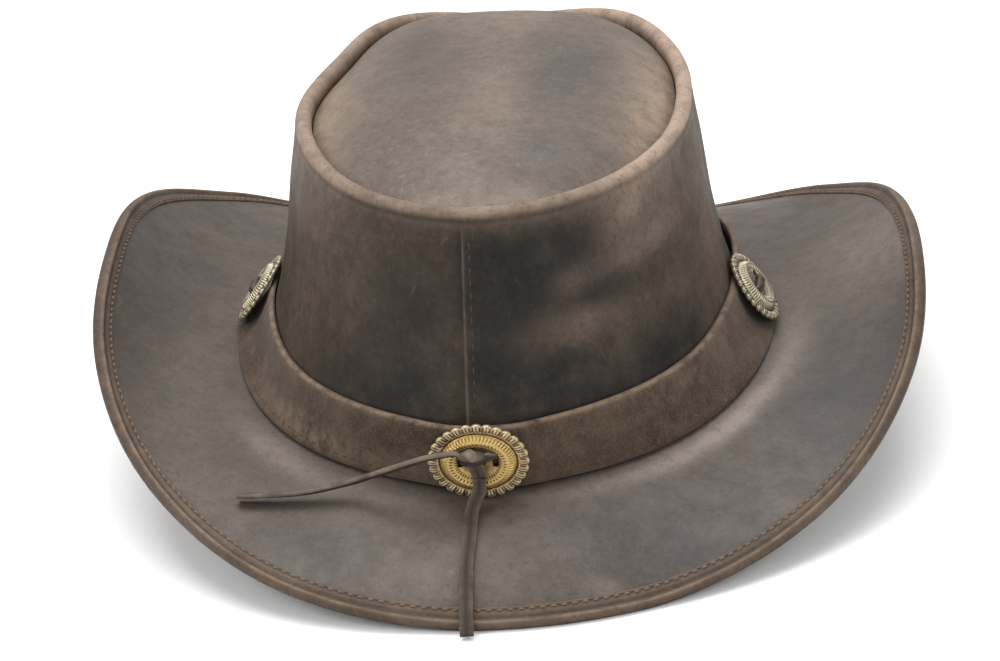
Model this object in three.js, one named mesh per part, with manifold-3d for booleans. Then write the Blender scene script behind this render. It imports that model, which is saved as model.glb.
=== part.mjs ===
// A leather bush hat with a rolled brim, standing as it does on a table. Millimetres, +Z up.
// +Y points to the front of the hat. The crown's seam and the tied concho are at the back, at -Y.
import * as THREE from 'three';
import { mergeVertices } from 'three/addons/utils/BufferGeometryUtils.js';
import Module from 'manifold-3d';

const wasm = await Module();
wasm.setup();

// Crown
const CROWN_HALF_WIDTH = 91.3; // outside of the wall at its foot
const CROWN_HALF_LENGTH = 110.5;
const CROWN_HEIGHT = 87; // foot to the crest of the rolled edge
const CROWN_LEATHER = 1.8;
const SIDE_TAPER = 25.6; // how far the wall leans in from foot to crest, at the sides
const BACK_TAPER = 14;
const FRONT_TAPER = 8;
const TIP_SHIFT = -0.2; // the tip stands this much to the right of the foot
const FOOT_HEIGHT = 29.6; // foot of the wall above the table, halfway along the hat
const FOOT_PITCH = 3.4; // the foot stands this much higher at the front, and lower at the back
const FOOT_SADDLE = 4.5; // and this much higher at the sides
const TIP_PITCH = 3; // pitch of the rolled edge, up at the front
const BACK_POINT = 2; // the seam draws the back of the crown out to a soft point
const BACK_POINT_SPREAD = 15; // degrees
const ROLL_RADIUS = 2.8; // the wall's upper edge is rolled over
const ROLL_FLANGE = 7; // and turned down inside the roll
const FRONT_DROP = 5.5; // the rolled edge dips at the front, under the swelling panel
const FRONT_DROP_SPREAD = 26; // degrees
const LAP_WIDTH = 8; // one end of the wall laps over the other at the back seam
const LAP_STEP = 1.3;
const DOME_HEIGHT = 14.2; // the tip panel swells like a cushion above the roll's centre
const DOME_FULLNESS = 4; // power by which the cushion falls to its edge
const DOME_LEAN = 0.2; // it is this share fuller at the front
const RIDGE_HEIGHT = 1; // soft ridge along the middle of the tip panel
const RIDGE_HALF_WIDTH = 16;
const GROOVE_DEPTH = 2.2; // the tip panel comes out of the roll this far below the roll's centre

// Brim
const BRIM_LEATHER = 2;
const BRIM_WIDTH = 61.5; // along the leather at the sides
const SIDE_RISE = 64; // the higher side of the rolled edge above its resting height
const REST_HEIGHT = 0.5; // middle of the bead above the table where the brim rests
const BINDING_WIDTH = 8;
const BEAD_RADIUS = 2.7; // the binding is full at the edge

// Band and its ornaments
const BAND_HEIGHT = 22; // along the leather
const BAND_LEATHER = 2;
const CONCHO_LENGTH = 32;
const CONCHO_HEIGHT = 26;
const CONCHO_THICKNESS = 3.4;
const CONCHO_RIM = 1;
const SCALLOPS = 28;
const SCALLOP_DEPTH = 0.06; // share of the concho's half size
const SLOT_SPACING = 11;
const SLOT_WIDTH = 2.6;
const SLOT_LENGTH = 6;
const LACE_WIDTH = 4.2;
const LACE_THICKNESS = 1.6;

const CLEARANCE = 0.3; // between pieces that touch
const STEPS_AROUND = 60;

const BACK = 270; // degrees round the hat, counted from the right side towards the front

// Height of the wall as a share of its whole height, and the share of the taper reached there.
const WALL_SECTIONS = [
  { height: 0, side: 0, back: 0, front: 0 },
  { height: 0.08, side: 0.27, back: -0.08, front: 0.24 },
  { height: 0.17, side: 0.44, back: -0.13, front: 0.42 },
  { height: 0.28, side: 0.56, back: -0.08, front: 0.56 },
  { height: 0.5, side: 0.7, back: 0.22, front: 0.68 },
  { height: 0.75, side: 0.8, back: 0.56, front: 0.78 },
  { height: 0.97, side: 0.9, back: 0.82, front: 0.85 },
];

// The rolled edge round the hat: how far it stands out beyond the taper, as a share of the taper
// at the sides, and how much higher it lies, as a share of the crown's height.
const TIP_SECTIONS = [
  { at: 0, out: -0.04, up: 0 },
  { at: 30, out: 0.05, up: 0 },
  { at: 60, out: 0.15, up: 0.012 },
  { at: 90, out: 0.02, up: 0 },
  { at: 120, out: 0.26, up: 0.01 },
  { at: 150, out: -0.06, up: 0 },
  { at: 180, out: -0.05, up: 0 },
  { at: 210, out: -0.09, up: 0 },
  { at: 240, out: -0.04, up: 0 },
  { at: 270, out: 0, up: 0 },
  { at: 300, out: 0.02, up: 0 },
  { at: 330, out: 0, up: 0 },
];

// The brim round the hat: leather width as a share of the brim's width, edge height as a share of
// the side rise, and the bend from root to edge in degrees, which is hollow above when positive.
const BRIM_SECTIONS = [
  { at: 0, width: 0.955, rise: 0.85, bend: 50 },
  { at: 22.5, width: 1.035, rise: 0.84, bend: 46 },
  { at: 45, width: 1.1, rise: 0.515, bend: 22 },
  { at: 67.5, width: 1.12, rise: 0.135, bend: -8 },
  { at: 90, width: 1.13, rise: 0, bend: -20 },
  { at: 112.5, width: 1.12, rise: 0.14, bend: -8 },
  { at: 135, width: 1.1, rise: 0.585, bend: 22 },
  { at: 157.5, width: 1.065, rise: 0.955, bend: 46 },
  { at: 180, width: 0.955, rise: 1, bend: 50 },
  { at: 202.5, width: 0.905, rise: 0.765, bend: 44 },
  { at: 225, width: 0.88, rise: 0.4, bend: 18 },
  { at: 247.5, width: 0.915, rise: 0.13, bend: -12 },
  { at: 270, width: 0.9, rise: 0, bend: -24 },
  { at: 292.5, width: 0.885, rise: 0.01, bend: -18 },
  { at: 315, width: 0.885, rise: 0.21, bend: 8 },
  { at: 337.5, width: 0.91, rise: 0.56, bend: 38 },
];

// Soft dents in the wall, and swellings with a depth below 0: where round the hat and how high,
// how deep as a share of the wall's taper at the sides, and how far they spread.
const DENTS = [
  { at: 338, height: 0.42, depth: 0.075, spread: 9, tall: 0.2 },
  { at: 318, height: 0.6, depth: 0.05, spread: 12, tall: 0.16 },
  { at: 205, height: 0.5, depth: 0.045, spread: 11, tall: 0.2 },
  { at: 296, height: 0.5, depth: 0.03, spread: 10, tall: 0.25 },
  { at: 60, height: 0.55, depth: 0.06, spread: 16, tall: 0.22 },
  { at: 120, height: 0.55, depth: 0.06, spread: 16, tall: 0.22 },
  { at: 222, height: 0.22, depth: -0.06, spread: 20, tall: 0.16 },
  { at: 318, height: 0.2, depth: -0.05, spread: 20, tall: 0.16 },
];

// The bead and flaps of the binding: distance in from the brim's edge as a share of the binding's
// width, and height over the middle of the brim's leather as a share of the bead's radius.
const BINDING_SECTION = [
  { inward: 1, height: 0.84 },
  { inward: 0.5, height: 0.94 },
  { inward: 0.32, height: 1 },
  { inward: 0.1, height: 0.74 },
  { inward: 0, height: 0 },
  { inward: 0.04, height: -0.5 },
  { inward: 0.12, height: -0.78 },
  { inward: 0.34, height: -1 },
  { inward: 1, height: -0.84 },
];

// A concho from its rim to its middle: size as a share of the half size, height as a share of
// the thickness above the rim.
const CONCHO_RINGS = [
  { size: 0.88, height: 0.3 },
  { size: 0.78, height: 0.12 },
  { size: 0.7, height: 0.55 },
  { size: 0.58, height: 1 },
  { size: 0.45, height: 0.5 },
];

// Where each concho sits: degrees round the hat, how far up the band as a share of its height,
// how far its top tips in towards the crown in degrees, and how deep it beds into the hollow of
// the band as a share of its thickness.
const CONCHOS = [
  { name: 'back', at: 269.3, up: 0.5, tipped: 0, bedded: 0, knotted: true },
  { name: 'left', at: 178, up: 0.64, tipped: 2, bedded: 0, knotted: false },
  { name: 'right', at: 357, up: 0.64, tipped: 2, bedded: 0, knotted: false },
];

// Lumps of the knot: place across and up the concho and size, as shares of the slot spacing.
const KNOT_LUMPS = [
  { across: -0.2, up: 0.27, length: 0.33, height: 0.27, turned: -6 },
  { across: 0.31, up: 0.25, length: 0.3, height: 0.18, turned: 26 },
];

// The tail that hangs down: over the concho, as shares of its half height and thickness, then down
// the brim, by degrees round the hat, share of the brim's width and lift as a share of the lace.
const BACK_TAIL_ON_CONCHO = [
  { across: 0.03, up: -0.27, out: 1.5 },
  { across: 0, up: -0.62, out: 1.5 },
];
const BACK_TAIL_ON_BRIM = [
  { at: 268.2, along: 0.25, lift: 0.9 },
  { at: 268.1, along: 0.36, lift: 0.12 },
  { at: 268.1, along: 0.48, lift: 0 },
  { at: 268, along: 0.62, lift: 0 },
  { at: 268.2, along: 0.75, lift: 0.1 },
  { at: 268.4, along: 0.85, lift: 1 },
  { at: 268.5, along: 0.93, lift: 1.3 },
  { at: 268.6, along: 1, lift: 1.15 },
  { at: 268.7, along: 1.06, lift: 0.9 },
];

// The other tail springs clear of the concho to the left and comes down on the brim: degrees
// round the hat, share of the brim's width, height over the leather as a share of the lace's
// width, and the turn of its flat side in degrees.
const SIDE_TAIL = [
  { at: 265.6, along: 0.29, over: 5.3, turned: 30 },
  { at: 261, along: 0.285, over: 4.7, turned: 32 },
  { at: 256.5, along: 0.28, over: 3.75, turned: 31 },
  { at: 251.5, along: 0.27, over: 2.55, turned: 28 },
  { at: 246.5, along: 0.29, over: 1.5, turned: 25 },
  { at: 240.5, along: 0.41, over: 0.88, turned: 22 },
  { at: 235, along: 0.57, over: 0.68, turned: 20 },
  { at: 232.8, along: 0.65, over: 0.64, turned: 20 },
];

const radians = THREE.MathUtils.degToRad;
const lerp = THREE.MathUtils.lerp;
const bell = (x) => Math.exp(-x * x);

// Signed difference of two angles in degrees, within half a turn.
function turn(a, b) {
  return THREE.MathUtils.euclideanModulo(a - b + 180, 360) - 180;
}

// Smooth value of a column between the rows of a table, going round when the table is a loop.
function along(table, key, column, at, loop) {
  const count = table.length;
  const row = (i) => (loop ? table[(i + count) % count] : table[THREE.MathUtils.clamp(i, 0, count - 1)]);
  let i = 0;
  while (i < count - 1 && table[i + 1][key] <= at) i += 1;
  const start = table[i][key];
  const end = i + 1 < count ? table[i + 1][key] : loop ? 360 : start + 1;
  const t = THREE.MathUtils.clamp((at - start) / (end - start), 0, 1);
  const [a, b, c, d] = [row(i - 1), row(i), row(i + 1), row(i + 2)].map((r) => r[column]);
  return b + 0.5 * t * (c - a + t * (2 * a - 5 * b + 4 * c - d + t * (3 * (b - c) + d - a)));
}

const brimColumn = (column, at) => along(BRIM_SECTIONS, 'at', column, turn(at, 180) + 180, true);
const tipColumn = (column, at) => along(TIP_SECTIONS, 'at', column, turn(at, 180) + 180, true);

// The crown's foot: a point of its outline and the direction out of it, for an angle in degrees.
function foot(at) {
  const c = Math.cos(radians(at));
  const s = Math.sin(radians(at));
  const out = new THREE.Vector3(c / CROWN_HALF_WIDTH, s / CROWN_HALF_LENGTH, 0).normalize();
  const height = FOOT_HEIGHT + FOOT_PITCH * s + FOOT_SADDLE * c ** 4;
  return { point: new THREE.Vector3(CROWN_HALF_WIDTH * c, CROWN_HALF_LENGTH * s, height), out, s };
}

// A point of the section at an angle: out from the foot's outline, and up from the table.
function place(at, r, z) {
  const { point, out } = foot(at);
  return point.clone().addScaledVector(out, r).setZ(z);
}

// How far the wall's outside stands out from the foot's outline at a share of its height.
function wallReach(at, height) {
  const { out } = foot(at);
  const share = (column) => along(WALL_SECTIONS, 'height', column, height, false);
  const end = out.y < 0 ? share('back') * BACK_TAPER : share('front') * FRONT_TAPER;
  const lean = out.x ** 2 * share('side') * SIDE_TAPER + out.y ** 2 * end;
  const point = BACK_POINT * bell(turn(at, BACK) / BACK_POINT_SPREAD) * (1 - 0.5 * height);
  const tip = SIDE_TAPER * tipColumn('out', at) * height ** 2;
  let dents = 0;
  for (const d of DENTS) {
    dents += d.depth * SIDE_TAPER * bell(turn(at, d.at) / d.spread) * bell((height - d.height) / d.tall);
  }
  return point + tip + TIP_SHIFT * out.x * height - lean - dents;
}

const frontDrop = (at) => FRONT_DROP * bell(turn(at, BACK - 180) / FRONT_DROP_SPREAD);
const crestHeight = (at) => FOOT_HEIGHT + CROWN_HEIGHT * (1 + tipColumn('up', at)) + TIP_PITCH * foot(at).s
  - frontDrop(at);
const wallHeight = (at, height) => lerp(foot(at).point.z, crestHeight(at), height);

// Middle of the rolled edge: straight above the lean that the wall has reached there.
function rollCentre(at) {
  const top = WALL_SECTIONS[WALL_SECTIONS.length - 1].height;
  return { r: wallReach(at, top) - ROLL_RADIUS, z: crestHeight(at) - ROLL_RADIUS };
}

// Extra height of the lapped end of the wall: a step on its left, a slow fall on its right.
function lap(at, smooth) {
  const arc = radians(turn(at, BACK)) * CROWN_HALF_WIDTH;
  const left = -LAP_WIDTH / 2;
  if (smooth) return LAP_STEP * (1 - THREE.MathUtils.smoothstep(Math.abs(arc), LAP_WIDTH, 3 * LAP_WIDTH));
  if (arc < left) return 0;
  return LAP_STEP * (1 - THREE.MathUtils.smoothstep(arc, left + LAP_WIDTH, left + 2.5 * LAP_WIDTH));
}

// The middle of the brim's leather: section point at a distance along it from the crown's foot,
// and off it along its normal.
function brimAt(at, distance, off) {
  const root = foot(at).point.z - CLEARANCE - BRIM_LEATHER / 2;
  if (distance <= 0) return { r: distance, z: root + off };
  const width = brimWidth(at);
  const bend = radians(brimColumn('bend', at));
  const half = bend / 2;
  const chord = width * (Math.abs(half) < 1e-4 ? 1 : Math.sin(half) / half);
  const rise = REST_HEIGHT + Math.max(brimColumn('rise', at), 0) * SIDE_RISE - root;
  const start = Math.asin(THREE.MathUtils.clamp(rise / chord, -0.95, 0.95)) - half;
  const turned = (bend * distance) / width;
  const reach = distance * (Math.abs(turned) < 1e-4 ? 1 : Math.sin(turned / 2) / (turned / 2));
  const slope = start + turned;
  const r = reach * Math.cos(start + turned / 2) - off * Math.sin(slope);
  return { r, z: root + reach * Math.sin(start + turned / 2) + off * Math.cos(slope) };
}

const brimWidth = (at) => BRIM_WIDTH * brimColumn('width', at);

// A closed solid from rings of points. Rings that close on themselves are joined in a loop, and
// others are capped at both ends; every ring has as many points as the next. Each four-sided face
// is split along one diagonal, or along the other when crossed.
function loft(rings, loop, crossed) {
  const count = rings[0].length;
  const positions = rings.flat().flatMap((p) => [p.x, p.y, p.z]);
  const index = [];
  const last = loop ? rings.length : rings.length - 1;
  for (let i = 0; i < last; i += 1) {
    const a = i * count;
    const b = ((i + 1) % rings.length) * count;
    for (let j = 0; j < count; j += 1) {
      const k = (j + 1) % count;
      if (crossed) index.push(a + j, b + j, a + k, b + j, b + k, a + k);
      else index.push(a + j, b + j, b + k, a + j, b + k, a + k);
    }
  }
  if (!loop) {
    for (let j = 1; j < count - 1; j += 1) {
      index.push(0, j, j + 1);
      const end = (rings.length - 1) * count;
      index.push(end, end + j + 1, end + j);
    }
  }
  const geometry = new THREE.BufferGeometry();
  geometry.setAttribute('position', new THREE.Float32BufferAttribute(positions, 3));
  geometry.setIndex(index);
  return geometry;
}

// Angles round the hat, with the lap's sharp edge as two close stations.
function anglesAround() {
  const angles = [];
  const edge = BACK - THREE.MathUtils.radToDeg(LAP_WIDTH / 2 / CROWN_HALF_WIDTH);
  for (let i = 0; i < STEPS_AROUND; i += 1) {
    const at = (i * 360) / STEPS_AROUND;
    if (Math.abs(turn(at, edge)) > 2) angles.push(at);
  }
  angles.push(edge - 0.15, edge + 0.15);
  return angles.sort((a, b) => a - b);
}

const AROUND = anglesAround();

// Sweeps a section, given as points { r, z } for each angle, all round the hat.
function sweep(section, crossed) {
  return loft(AROUND.map((at) => section(at).map(({ r, z }) => place(at, r, z))), true, crossed);
}

// Wall of the crown with its rolled upper edge.
function crownSideSection(at) {
  const points = [];
  const levels = WALL_SECTIONS.map((row) => row.height);
  const overlap = lap(at, false);
  const top = levels[levels.length - 1];
  for (const h of levels.slice(0, -1)) points.push({ r: wallReach(at, h) + overlap, z: wallHeight(at, h) });
  const roll = rollCentre(at);
  for (const turned of [0, 45, 90, 135, 180]) {
    const a = radians(turned);
    const outer = ROLL_RADIUS + Math.max(Math.cos(a), 0) * overlap;
    points.push({ r: roll.r + outer * Math.cos(a), z: roll.z + ROLL_RADIUS * Math.sin(a) });
  }
  const flange = roll.z - ROLL_FLANGE;
  points.push({ r: roll.r - ROLL_RADIUS, z: flange });
  points.push({ r: roll.r - ROLL_RADIUS + CROWN_LEATHER, z: flange });
  points.push({ r: roll.r - ROLL_RADIUS + CROWN_LEATHER + 0.1, z: roll.z });
  for (const h of levels.slice(0, -1).reverse()) {
    if (h > top - 0.1) continue;
    points.push({ r: wallReach(at, h) - CROWN_LEATHER, z: wallHeight(at, h) });
  }
  return points;
}

// Half width of the tip panel, for the thickness of its turned edge.
const TIP_REACH = CROWN_HALF_WIDTH - SIDE_TAPER - 2 * ROLL_RADIUS;

// Domed panel that closes the crown, its edge turned down inside the roll.
function crownTip() {
  const centre = new THREE.Vector3();
  const rim = AROUND.map((at) => {
    const roll = rollCentre(at);
    return place(at, roll.r - ROLL_RADIUS - CLEARANCE, roll.z);
  });
  for (const p of rim) centre.addScaledVector(p, 1 / rim.length);
  const dome = (share, x, lean) => {
    const full = 1 - share ** DOME_FULLNESS;
    const swell = DOME_HEIGHT * full * (1 + DOME_LEAN * lean);
    return swell + RIDGE_HEIGHT * bell(x / RIDGE_HALF_WIDTH) * full - GROOVE_DEPTH;
  };
  const ring = (share, drop) => rim.map((p, i) => {
    const dip = frontDrop(AROUND[i]);
    const q = new THREE.Vector3(lerp(centre.x, p.x, share), lerp(centre.y, p.y, share), 0);
    const level = lerp(centre.z, p.z + dip, share) - dip * share ** (2 * DOME_FULLNESS);
    q.z = level + dome(share, q.x, share * foot(AROUND[i]).s) - drop;
    return q;
  });
  const turned = ROLL_FLANGE - GROOVE_DEPTH - CLEARANCE;
  const inset = 1 - CROWN_LEATHER / TIP_REACH;
  const upper = [ring(1, turned), ring(1, 0), ring(0.96, 0), ring(0.88, 0), ring(0.74, 0), ring(0.45, 0)];
  const lower = [ring(0.45, CROWN_LEATHER), ring(0.74, CROWN_LEATHER), ring(inset * 0.94, CROWN_LEATHER),
    ring(inset, turned)];
  return capped(upper, lower);
}

// Closed shell from nested rings: outer face from its rim inwards, then inner face outwards.
function capped(upper, lower) {
  const count = upper[0].length;
  const rings = [...upper, ...lower];
  const positions = rings.flat().flatMap((p) => [p.x, p.y, p.z]);
  const index = [];
  const join = (i, k) => {
    for (let j = 0; j < count; j += 1) {
      const n = (j + 1) % count;
      index.push(i * count + j, i * count + n, k * count + n, i * count + j, k * count + n, k * count + j);
    }
  };
  for (let i = 0; i < rings.length - 1; i += 1) if (i !== upper.length - 1) join(i, i + 1);
  join(rings.length - 1, 0);
  for (const [ring, face] of [[upper.length - 1, 1], [upper.length, -1]]) {
    const middle = new THREE.Vector3();
    for (const p of rings[ring]) middle.addScaledVector(p, 1 / count);
    const hub = positions.length / 3;
    positions.push(middle.x, middle.y, middle.z);
    for (let j = 0; j < count; j += 1) {
      const a = ring * count + j;
      const b = ring * count + ((j + 1) % count);
      index.push(...(face > 0 ? [a, b, hub] : [b, a, hub]));
    }
  }
  const geometry = new THREE.BufferGeometry();
  geometry.setAttribute('position', new THREE.Float32BufferAttribute(positions, 3));
  geometry.setIndex(index);
  return geometry;
}

// Leather of the brim, from the inside of the crown to just short of the binding's bead.
const BRIM_STATIONS = [0, 0.14, 0.34, 0.56, 0.78, 1]; // shares of the way to the binding
const EDGE_INSET = BEAD_RADIUS * 0.9;

function brimSection(at) {
  const width = brimWidth(at);
  const open = BRIM_STATIONS.map((share) => share * (width - BINDING_WIDTH));
  const distances = [-CROWN_LEATHER, ...open, width - EDGE_INSET];
  const lower = distances.map((d) => brimAt(at, d, -BRIM_LEATHER / 2));
  const upper = distances.reverse().map((d) => brimAt(at, d, BRIM_LEATHER / 2));
  return [...lower, ...upper];
}

// Binding folded round the brim's edge, flattened where the hat rests on the table.
function bindingSection(at) {
  const width = brimWidth(at);
  const gap = BRIM_LEATHER / 2 + CLEARANCE;
  const outside = BINDING_SECTION.map(({ inward, height }) => {
    const p = brimAt(at, width - inward * BINDING_WIDTH, height * BEAD_RADIUS);
    return { r: p.r, z: Math.max(p.z, 0) };
  });
  const slot = [[BINDING_WIDTH, -gap], [EDGE_INSET - CLEARANCE, -gap], [EDGE_INSET - CLEARANCE, gap], [BINDING_WIDTH, gap]];
  const inside = slot.map(([inward, off]) => brimAt(at, width - inward, off));
  return [...outside, ...inside].reverse();
}

// Band round the foot of the crown. Its lower edge follows the brim.
const BAND_LEVELS = [0, 0.3, 0.64, 1];

function bandFace(at, level, off) {
  const share = BAND_HEIGHT / CROWN_HEIGHT;
  const slant = Math.hypot(wallReach(at, share) - wallReach(at, 0), wallHeight(at, share) - wallHeight(at, 0));
  const height = (level * share * BAND_HEIGHT) / slant;
  const r = wallReach(at, height) + lap(at, true) + off;
  const brimTop = brimAt(at, Math.max(r, 0), BRIM_LEATHER / 2).z + 1.4 * CLEARANCE;
  return { r, z: Math.max(wallHeight(at, height) + (level ? 0 : CLEARANCE), brimTop) };
}

function bandSection(at) {
  const lean = 1.15; // the wall leans, so the band measures more across than it is thick
  const outer = BAND_LEVELS.map((level) => bandFace(at, level, lean * (CLEARANCE + BAND_LEATHER)));
  const inner = BAND_LEVELS.map((level) => bandFace(at, level, 2 * CLEARANCE));
  return [...outer, ...inner.reverse()];
}

// The frame of a concho: middle of its back face, and its directions across, up and out.
function conchoFrame({ at, up, tipped, bedded }) {
  const face = (level) => {
    const { r, z } = bandFace(at, level, 1.15 * (CLEARANCE + BAND_LEATHER));
    return place(at, r, z);
  };
  const across = new THREE.Vector3(-foot(at).out.y, foot(at).out.x, 0);
  const rise = face(1).sub(face(0)).normalize().applyAxisAngle(across, radians(-tipped));
  const out = across.clone().cross(rise).normalize();
  const middle = face(0).addScaledVector(rise, up * BAND_HEIGHT);
  const proud = Math.max(...BAND_LEVELS.map((level) => face(level).sub(middle).dot(out)));
  middle.addScaledVector(out, proud + CLEARANCE - bedded * CONCHO_THICKNESS);
  return new THREE.Matrix4().makeBasis(across, rise, out).setPosition(middle);
}

function toSolid(geometry) {
  const { position } = geometry.attributes;
  return new wasm.Manifold(new wasm.Mesh({
    numProp: 3,
    vertProperties: new Float32Array(position.array),
    triVerts: new Uint32Array(geometry.index.array),
  }));
}

function fromSolid(solid) {
  const mesh = solid.getMesh();
  const geometry = new THREE.BufferGeometry();
  geometry.setAttribute('position', new THREE.Float32BufferAttribute(mesh.vertProperties, 3));
  geometry.setIndex(Array.from(mesh.triVerts));
  return geometry;
}

function welded(geometry) {
  geometry.deleteAttribute('normal');
  geometry.deleteAttribute('uv');
  return mergeVertices(geometry, 1e-4);
}

// Oval brass ornament: scalloped rim, raised ring and dished middle, with two slots for the lace.
function concho() {
  const ring = (size, z, scalloped) => Array.from({ length: 2 * SCALLOPS }, (_, i) => {
    const a = (i * Math.PI) / SCALLOPS;
    const share = scalloped && i % 2 ? size * (1 - SCALLOP_DEPTH) : size;
    return new THREE.Vector3((share * CONCHO_LENGTH * Math.cos(a)) / 2, (share * CONCHO_HEIGHT * Math.sin(a)) / 2, z);
  });
  const dome = CONCHO_RINGS.map(({ size, height }) => ring(size, lerp(CONCHO_RIM, CONCHO_THICKNESS, height)));
  const body = toSolid(capped([ring(1, 0, true), ring(1, CONCHO_RIM, true), ...dome], [ring(0.5, 0)]));
  const slot = wasm.Manifold.cube([SLOT_WIDTH, SLOT_LENGTH, 3 * CONCHO_THICKNESS], true);
  const half = SLOT_SPACING / 2;
  return fromSolid(body.subtract(slot.translate([-half, 0, 0])).subtract(slot.translate([half, 0, 0])));
}

// Lace from one slot over the face of the concho and into the other slot.
function bridge() {
  const half = SLOT_SPACING / 2;
  const t = LACE_THICKNESS / 2;
  const dish = CONCHO_RINGS[CONCHO_RINGS.length - 1].height;
  const under = lerp(CONCHO_RIM, CONCHO_THICKNESS, dish) + CLEARANCE;
  const over = under + LACE_THICKNESS;
  const end = CONCHO_RIM / 2;
  const shape = new THREE.Shape([
    [half + t, end], [half + t, over - t], [half, over], [-half, over], [-half - t, over - t], [-half - t, end],
    [-half + t, end], [-half + t, under], [half - t, under], [half - t, end],
  ].map(([x, z]) => new THREE.Vector2(x, z)));
  const lace = new THREE.ExtrudeGeometry(shape, { depth: LACE_WIDTH, bevelEnabled: false });
  lace.translate(0, 0, -LACE_WIDTH / 2);
  lace.rotateX(Math.PI / 2);
  return welded(lace);
}

// The knot: the bridge with two soft lumps tied over it.
function knot() {
  let solid = toSolid(bridge());
  const level = CONCHO_THICKNESS + LACE_THICKNESS + 1.6 * CLEARANCE;
  for (const { across, up, length, height, turned } of KNOT_LUMPS) {
    const lump = welded(new THREE.SphereGeometry(1, 12, 8));
    lump.scale(length * SLOT_SPACING, height * SLOT_SPACING, LACE_THICKNESS * 1.1);
    lump.rotateZ(radians(turned));
    lump.translate(across * SLOT_SPACING, up * SLOT_SPACING, level);
    solid = solid.add(toSolid(lump));
  }
  return fromSolid(solid);
}

// A flat strip of lace through points, each with the direction of the strip's width.
function strip(stations) {
  const points = stations.map((s) => s.point);
  const rings = stations.map(({ point, width }, i) => {
    const ahead = points[Math.min(i + 1, points.length - 1)].clone().sub(points[Math.max(i - 1, 0)]).normalize();
    const side = width.clone().addScaledVector(ahead, -width.dot(ahead)).normalize();
    const flat = side.clone().cross(ahead).normalize();
    const corner = (a, b) => point.clone()
      .addScaledVector(side, (a * LACE_WIDTH) / 2)
      .addScaledVector(flat, (b * LACE_THICKNESS) / 2);
    return [corner(-1, -1), corner(1, -1), corner(1, 1), corner(-1, 1)];
  });
  return loft(rings, false);
}

// Smooth curve through control stations, cut into even steps of about twice the lace's width.
function smoothStrip(controls) {
  const curve = new THREE.CatmullRomCurve3(controls.map((c) => c.point), false, 'centripetal');
  const widths = new THREE.CatmullRomCurve3(controls.map((c) => c.width), false, 'catmullrom', 0.5);
  const steps = Math.ceil(curve.getLength() / LACE_WIDTH);
  const stations = [];
  for (let i = 0; i <= steps; i += 1) {
    const t = curve.getUtoTmapping(i / steps);
    stations.push({ point: curve.getPoint(t), width: widths.getPoint(t).normalize() });
  }
  return strip(stations);
}

function backTail(frame) {
  const across = new THREE.Vector3().setFromMatrixColumn(frame, 0);
  const controls = BACK_TAIL_ON_CONCHO.map(({ across: x, up, out }) => {
    const local = new THREE.Vector3((x * CONCHO_LENGTH) / 2, (up * CONCHO_HEIGHT) / 2, out * CONCHO_THICKNESS);
    return { point: local.applyMatrix4(frame), width: across };
  });
  const clear = BRIM_LEATHER / 2 + CLEARANCE + LACE_THICKNESS / 2;
  for (const { at, along: share, lift } of BACK_TAIL_ON_BRIM) {
    const { r, z } = brimAt(at, share * brimWidth(at), clear + lift * LACE_THICKNESS);
    controls.push({ point: place(at, r, z), width: across });
  }
  return smoothStrip(controls);
}

function sideTail() {
  return smoothStrip(SIDE_TAIL.map(({ at, along: share, over, turned }) => {
    const { r, z } = brimAt(at, share * brimWidth(at), 0);
    const point = place(at, r, z + BRIM_LEATHER / 2 + over * LACE_WIDTH);
    const a = radians(turned);
    const width = foot(at).out.clone().multiplyScalar(Math.cos(a)).setZ(Math.sin(a));
    return { point, width };
  }));
}

function material(color, roughness, metalness) {
  return new THREE.MeshStandardMaterial({ color, roughness, metalness });
}

const brimLeather = material(0x57504a, 0.55, 0);
const crownLeather = material(0x55473b, 0.62, 0);
const bandLeather = material(0x54463a, 0.8, 0);
const edgeLeather = material(0x75604e, 0.6, 0);
const brass = material(0xa58d55, 0.38, 1);
const laceLeather = material(0x4b413a, 0.75, 0);

const hat = new THREE.Group();

function add(name, geometry, look) {
  const mesh = new THREE.Mesh(geometry, look);
  mesh.name = name;
  hat.add(mesh);
  return mesh;
}

add('crown_side', sweep(crownSideSection), crownLeather);
add('crown_tip', crownTip(), crownLeather);
add('brim', sweep(brimSection), brimLeather);
const edge = add('brim_binding', sweep(bindingSection, true), edgeLeather);
add('hat_band', sweep(bandSection), bandLeather);
for (const spot of CONCHOS) {
  const frame = conchoFrame(spot);
  add(`concho_${spot.name}`, concho().applyMatrix4(frame), brass);
  if (spot.knotted) {
    add('lace_knot', knot().applyMatrix4(frame), laceLeather);
    add('lace_tail_back', backTail(frame), laceLeather);
    add('lace_tail_side', sideTail(), laceLeather);
  } else {
    add(`lace_${spot.name}`, bridge().applyMatrix4(frame), laceLeather);
  }
}

// The origin is on the table, under the middle of the brim's outline.
const outline = new THREE.Box3().setFromObject(edge).getCenter(new THREE.Vector3());
hat.position.set(-outline.x, -outline.y, 0);

export default hat;
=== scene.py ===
# Bush hat: detailed leather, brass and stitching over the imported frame. Lengths are in
# millimetres until a mesh is made; angles go round the hat from its right side towards the front.
import math

import bpy
import numpy as np
from mathutils import Matrix, Vector


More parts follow.
